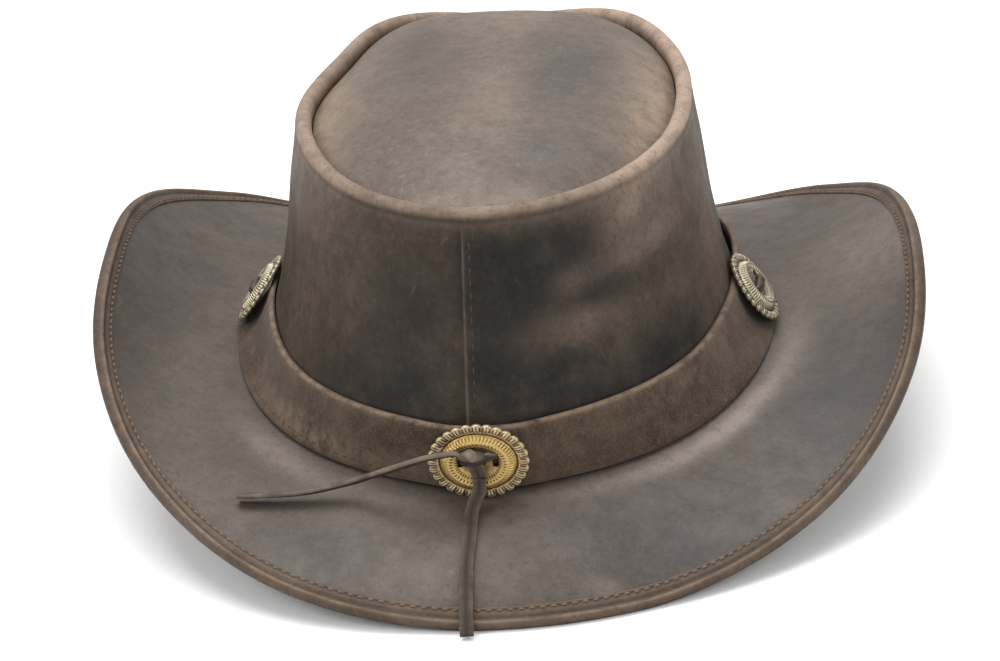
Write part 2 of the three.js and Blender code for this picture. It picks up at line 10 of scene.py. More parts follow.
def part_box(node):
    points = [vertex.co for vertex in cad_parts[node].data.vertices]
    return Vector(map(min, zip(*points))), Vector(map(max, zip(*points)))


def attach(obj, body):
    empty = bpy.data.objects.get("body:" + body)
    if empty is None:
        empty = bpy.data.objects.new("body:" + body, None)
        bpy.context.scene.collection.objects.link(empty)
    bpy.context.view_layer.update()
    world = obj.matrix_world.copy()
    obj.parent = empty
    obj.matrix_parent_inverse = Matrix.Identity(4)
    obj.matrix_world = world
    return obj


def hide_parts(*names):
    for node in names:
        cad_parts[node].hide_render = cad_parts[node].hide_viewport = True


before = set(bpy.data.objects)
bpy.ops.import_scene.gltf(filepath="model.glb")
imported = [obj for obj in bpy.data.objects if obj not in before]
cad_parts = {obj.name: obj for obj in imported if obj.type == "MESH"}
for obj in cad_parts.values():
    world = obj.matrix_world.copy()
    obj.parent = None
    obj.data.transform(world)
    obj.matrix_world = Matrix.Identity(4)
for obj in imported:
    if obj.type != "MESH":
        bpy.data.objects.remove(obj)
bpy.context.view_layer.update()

# Crown, as in the part
CROWN_HALF_WIDTH = 91.3
CROWN_HALF_LENGTH = 110.5
CROWN_HEIGHT = 87
CROWN_LEATHER = 1.8
SIDE_TAPER = 25.6
BACK_TAPER = 14
FRONT_TAPER = 8
TIP_SHIFT = -0.2
FOOT_HEIGHT = 29.6
FOOT_PITCH = 3.4
FOOT_SADDLE = 4.5
TIP_PITCH = 3
BACK_POINT = 2
BACK_POINT_SPREAD = 15
ROLL_RADIUS = 2.8
ROLL_FLANGE = 7
FRONT_DROP = 5.5
FRONT_DROP_SPREAD = 26
LAP_WIDTH = 8
LAP_STEP = 1.3
DOME_HEIGHT = 14.2
DOME_FULLNESS = 4
DOME_LEAN = 0.2
RIDGE_HEIGHT = 1
RIDGE_HALF_WIDTH = 16
GROOVE_DEPTH = 2.2

# Brim, as in the part
BRIM_LEATHER = 2
BRIM_WIDTH = 61.5
SIDE_RISE = 64
REST_HEIGHT = 0.5
BINDING_WIDTH = 8
BEAD_RADIUS = 2.7

# Band and ornaments, as in the part
BAND_HEIGHT = 22
BAND_LEATHER = 2
CONCHO_LENGTH = 32
CONCHO_HEIGHT = 26
CONCHO_THICKNESS = 3.4
SLOT_SPACING = 11
LACE_WIDTH = 4.2
LACE_THICKNESS = 1.6
CLEARANCE = 0.3
BACK = 270

# Sizes of the finer detail
BAND_FACE = 1.15 * (CLEARANCE + BAND_LEATHER)
CREASE_DEPTH = 0.3
CUT_EDGE = 0.45
CONCHO_MIDDLE = 1.9
SCALLOP_DEPTH = 0.5
RIB_DEPTH = 0.35
NOTCH_DEPTH = 0.55
DOT_DEPTH = 0.6
SLOT_DEPTH = 1.5
LACE_UNEVEN = 0.13
BRIDGE_NARROW = 0.62
STITCH_INWARD = 5.6
STITCH_HEIGHT = 0.62 * BEAD_RADIUS
STITCH_SUNK = 0.15


def rows(columns, *values):
    """A table with the columns' names given once."""
    return [dict(zip(columns.split(), v)) for v in values]


WALL_SECTIONS = [
    {"height": 0, "side": 0, "back": 0, "front": 0},
    {"height": 0.08, "side": 0.27, "back": -0.08, "front": 0.24},
    {"height": 0.17, "side": 0.44, "back": -0.13, "front": 0.42},
    {"height": 0.28, "side": 0.56, "back": -0.08, "front": 0.56},
    {"height": 0.5, "side": 0.7, "back": 0.22, "front": 0.68},
    {"height": 0.75, "side": 0.8, "back": 0.56, "front": 0.78},
    {"height": 0.97, "side": 0.9, "back": 0.82, "front": 0.85},
]
TIP_SECTIONS = rows(
    "at out up",
    (0, -0.04, 0),
    (30, 0.05, 0),
    (60, 0.15, 0.012),
    (90, 0.02, 0),
    (120, 0.26, 0.01),
    (150, -0.06, 0),
    (180, -0.05, 0),
    (210, -0.09, 0),
    (240, -0.04, 0),
    (270, 0, 0),
    (300, 0.02, 0),
    (330, 0, 0),
)
BRIM_SECTIONS = rows(
    "at width rise bend",
    (0, 0.955, 0.85, 50),
    (22.5, 1.035, 0.84, 46),
    (45, 1.1, 0.515, 22),
    (67.5, 1.12, 0.135, -8),
    (90, 1.13, 0, -20),
    (112.5, 1.12, 0.14, -8),
    (135, 1.1, 0.585, 22),
    (157.5, 1.065, 0.955, 46),
    (180, 0.955, 1, 50),
    (202.5, 0.905, 0.765, 44),
    (225, 0.88, 0.4, 18),
    (247.5, 0.915, 0.13, -12),
    (270, 0.9, 0, -24),
    (292.5, 0.885, 0.01, -18),
    (315, 0.885, 0.21, 8),
    (337.5, 0.91, 0.56, 38),
)
DENTS = [
    {"at": 338, "height": 0.42, "depth": 0.075, "spread": 9, "tall": 0.2},
    {"at": 318, "height": 0.6, "depth": 0.05, "spread": 12, "tall": 0.16},
    {"at": 205, "height": 0.5, "depth": 0.045, "spread": 11, "tall": 0.2},
    {"at": 296, "height": 0.5, "depth": 0.03, "spread": 10, "tall": 0.25},
    {"at": 60, "height": 0.55, "depth": 0.06, "spread": 16, "tall": 0.22},
    {"at": 120, "height": 0.55, "depth": 0.06, "spread": 16, "tall": 0.22},
    {"at": 222, "height": 0.22, "depth": -0.06, "spread": 20, "tall": 0.16},
    {"at": 318, "height": 0.2, "depth": -0.05, "spread": 20, "tall": 0.16},
]
CONCHOS = [
    {"name": "back", "at": 269.3, "up": 0.5, "tipped": 0},
    {"name": "left", "at": 178, "up": 0.64, "tipped": 2},
    {"name": "right", "at": 357, "up": 0.64, "tipped": 2},
]
BACK_TAIL_ON_CONCHO = [
    {"across": 0.03, "up": -0.27, "out": 1.5},
    {"across": 0, "up": -0.62, "out": 1.5},
]
BACK_TAIL_ON_BRIM = [
    {"at": 268.2, "along": 0.25, "lift": 0.9},
    {"at": 268.1, "along": 0.36, "lift": 0.12},
    {"at": 268.1, "along": 0.48, "lift": 0},
    {"at": 268, "along": 0.62, "lift": 0},
    {"at": 268.2, "along": 0.75, "lift": 0.1},
    {"at": 268.4, "along": 0.85, "lift": 1},
    {"at": 268.5, "along": 0.93, "lift": 1.3},
    {"at": 268.6, "along": 1, "lift": 1.15},
    {"at": 268.7, "along": 1.06, "lift": 0.9},
]
SIDE_TAIL = [
    {"at": 265.6, "along": 0.29, "over": 5.3, "turned": 30},
    {"at": 261, "along": 0.285, "over": 4.7, "turned": 32},
    {"at": 256.5, "along": 0.28, "over": 3.75, "turned": 31},
    {"at": 251.5, "along": 0.27, "over": 2.55, "turned": 28},
    {"at": 246.5, "along": 0.29, "over": 1.5, "turned": 25},
    {"at": 240.5, "along": 0.41, "over": 0.88, "turned": 22},
    {"at": 235, "along": 0.57, "over": 0.68, "turned": 20},
    {"at": 232.8, "along": 0.65, "over": 0.64, "turned": 20},
]

# Camera, found from the photo's outlines: it looks at a point above the crown's foot.
CAMERA_AZIMUTH = 5.14
CAMERA_ELEVATION = 23.4
CAMERA_ROLL = -3.54
CAMERA_DISTANCE = 986
CAMERA_TARGET = (-2.7, 0, FOOT_HEIGHT + 0.3)
CAMERA_LENS = 101.2


def turn(a, b):
    """Signed difference of angles in degrees, within half a turn."""
    return (a - b + 180) % 360 - 180


def unit(v):
    return v / np.linalg.norm(v, axis=-1, keepdims=True)


def square_to(v, ahead):
    """Directions turned square to others, of length 1."""
    return unit(v - (v * ahead).sum(-1, keepdims=True) * ahead)


def run_along(path):
    """Length of a path up to each of its points."""
    return np.concatenate([[0], np.cumsum(np.linalg.norm(np.diff(path, axis=0), axis=1))])


def between(at, run, values):
    """Rows of values at places along a run."""
    return np.stack([np.interp(at, run, column) for column in np.transpose(values)], 1)


def bell(x):
    return np.exp(-x * x)


def step(x, low, high):
    """Smooth rise from 0 at low to 1 at high."""
    t = np.clip((x - low) / (high - low), 0, 1)
    return t * t * (3 - 2 * t)


def along(table, key, column, at, loop):
    """Smooth values of a column between the rows of a table."""
    at = np.asarray(at, float)
    keys = np.array([row[key] for row in table], float)
    values = np.array([row[column] for row in table], float)
    count = len(keys)
    i = np.clip(np.searchsorted(keys, at, side="right") - 1, 0, count - 1)
    ends = np.append(keys[1:], 360 if loop else keys[-1] + 1)
    t = np.clip((at - keys[i]) / (ends[i] - keys[i]), 0, 1)
    pick = (lambda k: values[k % count]) if loop else (lambda k: values[np.clip(k, 0, count - 1)])
    a, b, c, d = pick(i - 1), pick(i), pick(i + 1), pick(i + 2)
    return b + 0.5 * t * (c - a + t * (2 * a - 5 * b + 4 * c - d + t * (3 * (b - c) + d - a)))


def foot(at):
    """Outline of the crown's foot at angles: its points and its outward directions."""
    a = np.radians(np.asarray(at, float))
    c, s = np.cos(a), np.sin(a)
    out = unit(np.stack([c / CROWN_HALF_WIDTH, s / CROWN_HALF_LENGTH, np.zeros_like(a)], -1))
    height = FOOT_HEIGHT + FOOT_PITCH * s + FOOT_SADDLE * c**4
    point = np.stack([CROWN_HALF_WIDTH * c, CROWN_HALF_LENGTH * s, height], -1)
    return point, out


def place(at, r, z):
    """Points of the sections: out from the foot's outline, and up from the table."""
    point, out = foot(at)
    r = np.asarray(r, float)
    result = point + out * r[..., None]
    result[..., 2] = z
    return result


def tip_column(column, at):
    return along(TIP_SECTIONS, "at", column, np.asarray(at, float) % 360, True)


def wall_reach(at, height):
    out = foot(at)[1]
    share = {c: along(WALL_SECTIONS, "height", c, height, False) for c in ("side", "back", "front")}
    end = np.where(out[..., 1] < 0, share["back"] * BACK_TAPER, share["front"] * FRONT_TAPER)
    lean = out[..., 0] ** 2 * share["side"] * SIDE_TAPER + out[..., 1] ** 2 * end
    point = BACK_POINT * bell(turn(at, BACK) / BACK_POINT_SPREAD) * (1 - 0.5 * height)
    tip = SIDE_TAPER * tip_column("out", at) * height**2
    dents = 0
    for d in DENTS:
        spread = bell(turn(at, d["at"]) / d["spread"]) * bell((height - d["height"]) / d["tall"])
        dents = dents + d["depth"] * SIDE_TAPER * spread
    return point + tip + TIP_SHIFT * out[..., 0] * height - lean - dents


def front_drop(at):
    return FRONT_DROP * bell(turn(at, BACK - 180) / FRONT_DROP_SPREAD)


def crest_height(at):
    s = np.sin(np.radians(at))
    crown = CROWN_HEIGHT * (1 + tip_column("up", at))
    return FOOT_HEIGHT + crown + TIP_PITCH * s - front_drop(at)


def wall_height(at, height):
    low = foot(at)[0][..., 2]
    return low + (crest_height(at) - low) * height


def roll_centre(at):
    top = WALL_SECTIONS[-1]["height"]
    return wall_reach(at, np.full_like(at, top)) - ROLL_RADIUS, crest_height(at) - ROLL_RADIUS


def lap(at, smooth):
    """Extra reach over the wall's lap: with a cut edge on its left side, or smooth on both."""
    arc = np.radians(turn(at, BACK)) * CROWN_HALF_WIDTH
    left = -LAP_WIDTH / 2
    if smooth:
        return LAP_STEP * (1 - step(np.abs(arc), LAP_WIDTH, 3 * LAP_WIDTH))
    return np.where(arc < left, 0, LAP_STEP * (1 - step(arc, left + LAP_WIDTH, left + 2.5 * LAP_WIDTH)))


def brim_column(column, at):
    return along(BRIM_SECTIONS, "at", column, np.asarray(at, float) % 360, True)


def brim_width(at):
    return BRIM_WIDTH * brim_column("width", at)


def brim_at(at, distance, off):
    """Section points of the brim: along its leather from the foot, and off its middle."""
    at, distance, off = np.broadcast_arrays(*(np.asarray(v, float) for v in (at, distance, off)))
    root = foot(at)[0][..., 2] - CLEARANCE - BRIM_LEATHER / 2
    width = brim_width(at)
    bend = np.radians(brim_column("bend", at))
    chord = width * np.sinc(bend / 2 / math.pi)
    rise = REST_HEIGHT + np.maximum(brim_column("rise", at), 0) * SIDE_RISE - root
    start = np.arcsin(np.clip(rise / chord, -0.95, 0.95)) - bend / 2
    turned = bend * distance / width
    reach = distance * np.sinc(turned / 2 / math.pi)
    slope = start + turned
    r = reach * np.cos(start + turned / 2) - off * np.sin(slope)
    z = root + reach * np.sin(start + turned / 2) + off * np.cos(slope)
    inside = distance <= 0
    return np.where(inside, distance, r), np.where(inside, root + off, z)


def band_face(at, level, off):
    share = BAND_HEIGHT / CROWN_HEIGHT
    whole = np.zeros_like(at) + share
    out = wall_reach(at, whole) - wall_reach(at, 0 * whole)
    up = wall_height(at, whole) - wall_height(at, 0 * whole)
    height = level * share * BAND_HEIGHT / np.hypot(out, up)
    r = wall_reach(at, height) + lap(at, True) + off
    brim_top = brim_at(at, np.maximum(r, 0), BRIM_LEATHER / 2)[1] + 1.4 * CLEARANCE
    return r, np.maximum(wall_height(at, height) + np.where(level > 0, 0, CLEARANCE), brim_top)


# Angles of the sections, closer together over the lap
ANGLES = np.unique(np.concatenate([np.arange(0, 360, 1.0), np.arange(BACK - 12, BACK + 12, 0.25)]))


def grid(levels):
    """Angles and levels as two arrays of one shape, with a row for each angle."""
    return np.meshgrid(ANGLES, levels, indexing="ij")


# Shift of the hat from the crown's middle to the frame's origin
corners = [np.array(c) * 1000 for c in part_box("brim_binding")]
edge_plan = place(ANGLES, *brim_at(ANGLES, brim_width(ANGLES), 0))
SHIFT = (corners[0] + corners[1]) / 2 - (edge_plan.min(0) + edge_plan.max(0)) / 2
SHIFT[2] = 0


def make_mesh(name, points, faces, replaced=()):
    """A smooth-shaded object from points in millimetres, riding on the hat."""
    mesh = bpy.data.meshes.new(name)
    points = np.asarray(points, float).reshape(-1, 3)
    mesh.from_pydata(((points + SHIFT) / 1000).tolist(), [], faces)
    mesh.shade_smooth()
    mesh.validate()
    piece = bpy.data.objects.new(name, mesh)
    bpy.context.scene.collection.objects.link(piece)
    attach(piece, "root")
    if replaced:
        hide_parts(*replaced)
    return piece


def loop_faces(rings, count, closed=True):
    """Four-sided faces between rings of points, each ring closed on itself."""
    i = np.arange(rings if closed else rings - 1)[:, None]
    j = np.arange(count)[None, :]
    a = i * count + j
    b = ((i + 1) % rings) * count + j
    c = ((i + 1) % rings) * count + (j + 1) % count
    d = i * count + (j + 1) % count
    return np.stack(np.broadcast_arrays(a, b, c, d), -1).reshape(-1, 4).tolist()


def add_values(piece, name, values):
    """A named value for each point, for the material to read."""
    attribute = piece.data.attributes.new(name, "FLOAT", "POINT")
    attribute.data.foreach_set("value", np.asarray(values, np.float32).ravel())


def swept(name, r, z, replaced):
    """A piece swept round the hat from section arrays with one row for each angle."""
    at = np.repeat(ANGLES[:, None], r.shape[1], 1)
    return make_mesh(name, place(at, r, z), loop_faces(*r.shape), replaced)


# Camera
azimuth, elevation, roll = (math.radians(v) for v in (CAMERA_AZIMUTH, CAMERA_ELEVATION, CAMERA_ROLL))
back = Vector((
    math.sin(azimuth) * math.cos(elevation),
    -math.cos(azimuth) * math.cos(elevation),
    math.sin(elevation),
))
level_right = Vector((math.cos(azimuth), math.sin(azimuth), 0))
level_up = back.cross(level_right)
right = level_right * math.cos(roll) + level_up * math.sin(roll)
up = level_up * math.cos(roll) - level_right * math.sin(roll)
camera_data = bpy.data.cameras.new("camera")
camera_data.sensor_width = 36
camera_data.lens = CAMERA_LENS
camera = bpy.data.objects.new("camera", camera_data)
bpy.context.scene.collection.objects.link(camera)
target = (Vector(CAMERA_TARGET) + Vector(SHIFT)) / 1000
turned = Matrix((right, up, back)).transposed().to_4x4()
camera.matrix_world = Matrix.Translation(target + back * CAMERA_DISTANCE / 1000) @ turned
bpy.context.scene.camera = camera


CREASES = [  # angle and level of each soft crease of the wall, half sizes, slant in degrees, and strength
    {"at": 311, "level": 0.88, "wide": 6, "tall": 0.09, "slant": 60, "amount": 0.9},
    {"at": 320, "level": 0.84, "wide": 10, "tall": 0.06, "slant": 60, "amount": -0.7},
    {"at": 316, "level": 0.71, "wide": 15, "tall": 0.07, "slant": 20, "amount": 0.9},
    {"at": 324, "level": 0.59, "wide": 11, "tall": 0.07, "slant": 20, "amount": -0.8},
    {"at": 292, "level": 0.54, "wide": 12, "tall": 0.07, "amount": 0.8},
    {"at": 291, "level": 0.69, "wide": 5, "tall": 0.06, "slant": 20, "amount": 0.5},
    {"at": 302, "level": 0.62, "wide": 9, "tall": 0.05, "slant": 30, "amount": -0.4},
    {"at": 349, "level": 0.55, "wide": 8, "tall": 0.35, "amount": 0.6},
    {"at": 243, "level": 0.6, "wide": 9, "tall": 0.3, "slant": -12, "amount": 0.2},
]
BRIM_ROOT_SHEEN = [  # painted highlights along the band's foot, at levels of the brim's width
    {"at": 321, "level": 0.15, "wide": 22, "tall": 0.075, "amount": 1},
    {"at": 350, "level": 0.2, "wide": 16, "tall": 0.12, "amount": 0.35},
    {"at": 228, "level": 0.2, "wide": 14, "tall": 0.1, "amount": 0.5},
    {"at": 250, "level": 0.3, "wide": 10, "tall": 0.16, "amount": 0.35},
    {"at": 285, "level": 0.14, "wide": 20, "tall": 0.08, "amount": 0.3},
]
BAND_RUBS = [
    {"at": 232, "level": 0.25, "wide": 22, "tall": 0.25, "amount": 0.6},
    {"at": 315, "level": 0.7, "wide": 16, "tall": 0.25, "amount": 0.35},
]


def soft_marks(table, at, level):
    """Sum of soft places: raised or pale ones count up, sunk ones down."""
    total = 0
    for mark in table:
        above = level - mark["level"]
        away = turn(at, mark["at"]) - mark.get("slant", 0) * above
        total = total + mark["amount"] * bell(away / mark["wide"]) * bell(above / mark["tall"])
    return total


def wall_wear(at, level, crest):
    """How pale and how black the outside of the wall is: pale with wear and painted highlights, black with
    dye and painted shade; crest is 1 on top of its roll.
    """
    creases = soft_marks(CREASES, at, level)
    arc = np.radians(turn(at, BACK)) * CROWN_HALF_WIDTH
    cut_edge = bell((arc + LAP_WIDTH / 2) / CUT_EDGE) * (1 - step(level, 0.86, 0.95))
    # The roll's crest is paler, wear with a painted highlight along it; the lap's cut edge is paler; raised
    # creases get a painted highlight.
    wear_and_sheen = crest * (0.48 + 0.7 * bell(turn(at, 14) / 48)) + 0.2 * cut_edge + 0.23 * np.maximum(creases, 0)
    # Paler on the right side from the middle up, high up by the creases at 316 degrees, and high on the left
    # side.
    wear_and_sheen = wear_and_sheen + 0.1 * bell(turn(at, 345) / 22) * step(level, 0.25, 0.7)
    wear_and_sheen = wear_and_sheen + 0.36 * bell(turn(at, 316) / 15) * step(level, 0.68, 0.92)
    wear_and_sheen = wear_and_sheen + 0.2 * (1 - step(turn(at, 235), -30, 5)) * step(level, 0.6, 0.95)
    # Black beyond the lap, fading along the upper wall and lasting longer below
    beyond_lap = step(turn(at, 262), -3, 9)
    low = 1 - step(level, 0.3, 0.55)
    black = beyond_lap * (1 - 0.75 * step(turn(at, 291), 0, 22)) * (1 - step(level, 0.86, 0.99))
    black = np.maximum(black, beyond_lap * low * (1 - step(turn(at, 321), 0, 17)))
    # Raised creases lose black and sunk ones gain it: painted highlight and painted shade on the creases.
    black = black - 0.8 * np.maximum(creases, 0) + 0.6 * np.maximum(-creases, 0)
    # Darker on the brown side towards the lap, lower down, and along the bottom.
    before_lap = 0.75 * step(turn(at, 240), -30, 12) * (1 - step(level, 0.6, 0.98)) * (1 - beyond_lap)
    black = np.maximum(black, before_lap) + 0.2 * low * (1 - beyond_lap)
    return wear_and_sheen, black


def crown_wall():
    """Outside of the wall with its lap, the roll, the flange inside it, and the wall's inside."""
    levels = np.concatenate([np.linspace(0, 0.9, 46), [0.925, 0.945]])
    roll_turns = np.radians(np.linspace(-14, 180, 18))
    inner_levels = np.linspace(0.9, 0, 12)
    at, level = grid(levels)
    overlap = lap(at, False) * (1 - 0.75 * step(level, 0.88, 0.945))
    outer_r = wall_reach(at, level) + overlap + CREASE_DEPTH * soft_marks(CREASES, at, level)
    outer_z = wall_height(at, level)
    centre_r, centre_z = (v[:, None] for v in roll_centre(ANGLES))
    roll_r = centre_r + (ROLL_RADIUS + 0.3 * lap(ANGLES[:, None], False)) * np.cos(roll_turns)
    roll_z = centre_z + ROLL_RADIUS * np.sin(roll_turns)
    flange_r = centre_r - ROLL_RADIUS + np.array([0, CROWN_LEATHER])
    flange_z = np.repeat(centre_z - ROLL_FLANGE, 2, 1)
    at, level = grid(inner_levels)
    inside_r = wall_reach(at, level) - CROWN_LEATHER
    inside_z = wall_height(at, level)
    r = np.concatenate([outer_r, roll_r, flange_r, inside_r], 1)
    z = np.concatenate([outer_z, roll_z, flange_z, inside_z], 1)
    piece = swept("crown_wall", r, z, ["crown_side"])
    hidden = np.zeros(2 + len(inner_levels))
    outside = np.concatenate([np.ones(len(levels) + len(roll_turns)), hidden])
    crest = np.concatenate([0.3 * step(levels, 0.91, 0.97), step(roll_turns, -0.3, 0.6), hidden])
    at, level = grid(np.concatenate([levels, np.ones(len(roll_turns) + 2), inner_levels]))
    wear_and_sheen, black = wall_wear(at, level, crest)
    add_values(piece, "wear_and_sheen", np.clip(wear_and_sheen, 0, 1) * outside)
    add_values(piece, "cool", np.clip(black, 0, 1) * outside)
    return piece


def crown_panel():
    """Domed tip panel, its edge turned down inside the roll."""
    r, z = roll_centre(ANGLES)
    rim = place(ANGLES, r - ROLL_RADIUS - CLEARANCE, z)
    centre = rim.mean(0)
    sines = np.sin(np.radians(ANGLES))[:, None]
    dips = front_drop(ANGLES)[:, None]

    def ring(shares, drop):
        xy = centre[:2] + (rim[:, None, :2] - centre[:2]) * shares[None, :, None]
        full = 1 - shares**DOME_FULLNESS
        swell = DOME_HEIGHT * full * (1 + DOME_LEAN * shares * sines)
        swell = swell + RIDGE_HEIGHT * bell(xy[..., 0] / RIDGE_HALF_WIDTH) * full - GROOVE_DEPTH
        level = centre[2] + (rim[:, 2:3] + dips - centre[2]) * shares
        level = level - dips * shares ** (2 * DOME_FULLNESS)
        return np.concatenate([xy, (level + swell - drop)[..., None]], -1)

    outer = ring(np.array([1.0]), ROLL_FLANGE - GROOVE_DEPTH - CLEARANCE)
    top = ring(1 - np.linspace(0, 1, 60)[:-1] ** 1.5, 0)
    inner = ring(np.linspace(0.02, 0.965, 16), CROWN_LEATHER)
    low = ring(np.array([0.97]), ROLL_FLANGE - GROOVE_DEPTH - CLEARANCE)
    points = np.concatenate([outer, top, inner, low], 1)
    count = points.shape[1]
    hub = outer.shape[1] + top.shape[1] - 1
    faces = [face for face in loop_faces(points.shape[0], count) if face[0] % count != hub]
    starts = range(0, points.shape[0] * count, count)
    faces.append([start + hub for start in starts])
    faces.append([start + hub + 1 for start in reversed(starts)])
    return make_mesh("crown_panel", points, faces, ["crown_tip"])


def brim_sheet():
    shares = np.linspace(0, 1, 40)
    at, share = grid(shares)
    reach = share * (brim_width(at) - 0.9 * BEAD_RADIUS)
    lower = brim_at(at, reach, -BRIM_LEATHER / 2)
    upper = brim_at(at, reach, BRIM_LEATHER / 2)
    low_root = brim_at(at[:, :1], -CROWN_LEATHER, -BRIM_LEATHER / 2)
    top_root = brim_at(at[:, :1], -CROWN_LEATHER, BRIM_LEATHER / 2)
    r, z = (np.concatenate([low_root[i], lower[i], upper[i][:, ::-1], top_root[i]], 1) for i in (0, 1))
    piece = swept("brim_sheet", r, z, ["brim"])
    at, share = grid(np.concatenate([[0], 0 * shares, shares[::-1], [0]]))
    # Value "root": painted highlights along the band's foot.
    add_values(piece, "root", soft_marks(BRIM_ROOT_SHEEN, at, share))
    return piece


BINDING_PROFILE = [  # inward from the edge in mm, and off the middle in bead radii, from top to bottom
    (6.8, 0.4), (6.75, 0.52), (6.5, 0.62), (6.1, 0.66), (5.8, 0.6), (5.6, 0.56), (5.4, 0.6),
    (4.6, 0.66), (3.8, 0.62), (3.2, 0.54), (2.9, 0.56), (2.5, 0.7), (2, 0.88), (1.5, 0.97),
    (0.9, 0.9), (0.45, 0.66), (0.1, 0.28), (0, -0.05), (0.1, -0.3), (0.45, -0.6), (1.1, -0.82),
    (2, -0.96), (3, -1), (4.5, -0.95), (6, -0.88), (7.6, -0.84), (8, -0.6),
]


def edge_binding():
    """Binding round the brim's edge, with a slot that the brim's leather fills."""
    inward, height = np.transpose(BINDING_PROFILE)
    at, profile_in = grid(inward)
    r, z = brim_at(at, brim_width(at) - profile_in, height * BEAD_RADIUS)
    gap = BRIM_LEATHER / 2 + 0.05
    slot_end = 0.9 * BEAD_RADIUS - CLEARANCE
    at, slot_in = grid([BINDING_WIDTH, slot_end, slot_end, inward[0]])
    slot_r, slot_z = brim_at(at, brim_width(at) - slot_in, np.array([-gap, -gap, gap, gap]))
    r = np.concatenate([r, slot_r], 1)[:, ::-1]
    z = np.concatenate([np.maximum(z, 0), slot_z], 1)[:, ::-1]
    piece = swept("edge_binding", r, z, ["brim_binding"])
    top = np.concatenate([height > 0, np.zeros(4)])[::-1]
    inward = np.concatenate([inward, np.full(4, BINDING_WIDTH)])[::-1]
    # Paler bead: wear with a painted highlight on its round; paler places on the strip and at the flap's cut
    # end; the groove and stitch line are darker, painted shade.
    bead = bell((inward - 1.5) / 0.8)
    groove = bell((inward - 3.1) / 0.4) + 1.1 * bell((inward - STITCH_INWARD) / 0.3)
    strip = 0.16 * bell((inward - 4.4) / 0.6) + 0.4 * bell((inward - 6.5) / 0.35)
    add_values(piece, "wear_and_sheen", np.broadcast_to((0.06 + 0.55 * bead + strip) * top, r.shape))
    add_values(piece, "cool", np.broadcast_to(0.8 * groove * top, r.shape))
    return piece


BAND_FLARE = 2.2  # the band's top stands off the crown here
BAND_FLARE_AT = 20
BAND_FLARE_SPREAD = 12


def band_strip():
    levels = np.concatenate([[0, 0.012, 0.05], np.linspace(0.1, 0.9, 18), [0.95, 0.985, 1]])
    round_off = np.concatenate([[0.9, 0.45, 0.08], np.zeros(18), [0.1, 0.45, 1.1]])
    inner_levels = np.linspace(1, 0, 10)

    def face(rows, off):
        at, level = grid(rows)
        stands_off = BAND_FLARE * bell(turn(at, BAND_FLARE_AT) / BAND_FLARE_SPREAD)
        return band_face(at, level, off + stands_off * level**2)

    outer = face(levels, BAND_FACE - round_off)
    inner = face(inner_levels, 2 * CLEARANCE)
    r, z = (np.concatenate([outer[i], inner[i]], 1) for i in (0, 1))
    piece = swept("band_strip", r, z, ["hat_band"])
    at, level = grid(np.concatenate([levels, inner_levels]))
    outside = np.concatenate([np.ones(len(levels)), np.zeros(len(inner_levels))])
    edges = bell((level - 1) / 0.025) + 0.15 * bell((level - 1) / 0.16) + 0.35 * bell(level / 0.03)
    add_values(piece, "wear_and_sheen", np.clip((edges + soft_marks(BAND_RUBS, at, level)) * outside, 0, 1))
    return piece


wall = crown_wall()
panel = crown_panel()
brim = brim_sheet()
binding = edge_binding()
band = band_strip()


# Conchos
def concho_frame(spot):
    """Middle of a concho's back face, and its directions across, up and out."""
    at = np.array([float(spot["at"])])

    def face(level):
        r, z = band_face(at, np.array([float(level)]), BAND_FACE)
        return place(at, r, z)[0]

    normal = foot(at)[1][0]
    across = np.array([-normal[1], normal[0], 0])
    rise = unit(face(1) - face(0))
    tipped = math.radians(spot["tipped"])
    rise = rise * math.cos(tipped) - np.cross(across, rise) * math.sin(tipped)
    out = np.cross(across, rise)
    middle = face(0) + rise * spot["up"] * BAND_HEIGHT
    proud = max((face(level) - middle) @ out for level in (0, 0.3, 0.64, 1))
    middle = middle + out * (proud + CLEARANCE)
    return middle, across, rise, out


def on_frame(spot_frame, x, y, z):
    """Points at distances across, up and out from the middle of a concho's back face."""
    middle, across, rise, out = spot_frame
    return middle + np.multiply.outer(x, across) + np.multiply.outer(y, rise) + np.multiply.outer(z, out)


SCALLOPS = 28
NOTCHES = 60
DOTS = 44
RELIEF = [  # share of the half size from the middle out, and height in millimetres
    (0, CONCHO_MIDDLE), (0.34, CONCHO_MIDDLE), (0.4, 2.25), (0.46, 2.7), (0.53, 3.05), (0.59, 3.15),
    (0.65, 2.9), (0.7, 2.2), (0.735, 1.25), (0.755, 0.95), (0.775, 0.95), (0.8, 1.35), (0.85, 1.75),
    (0.9, 1.85), (0.95, 1.65), (1, 1.1),
]


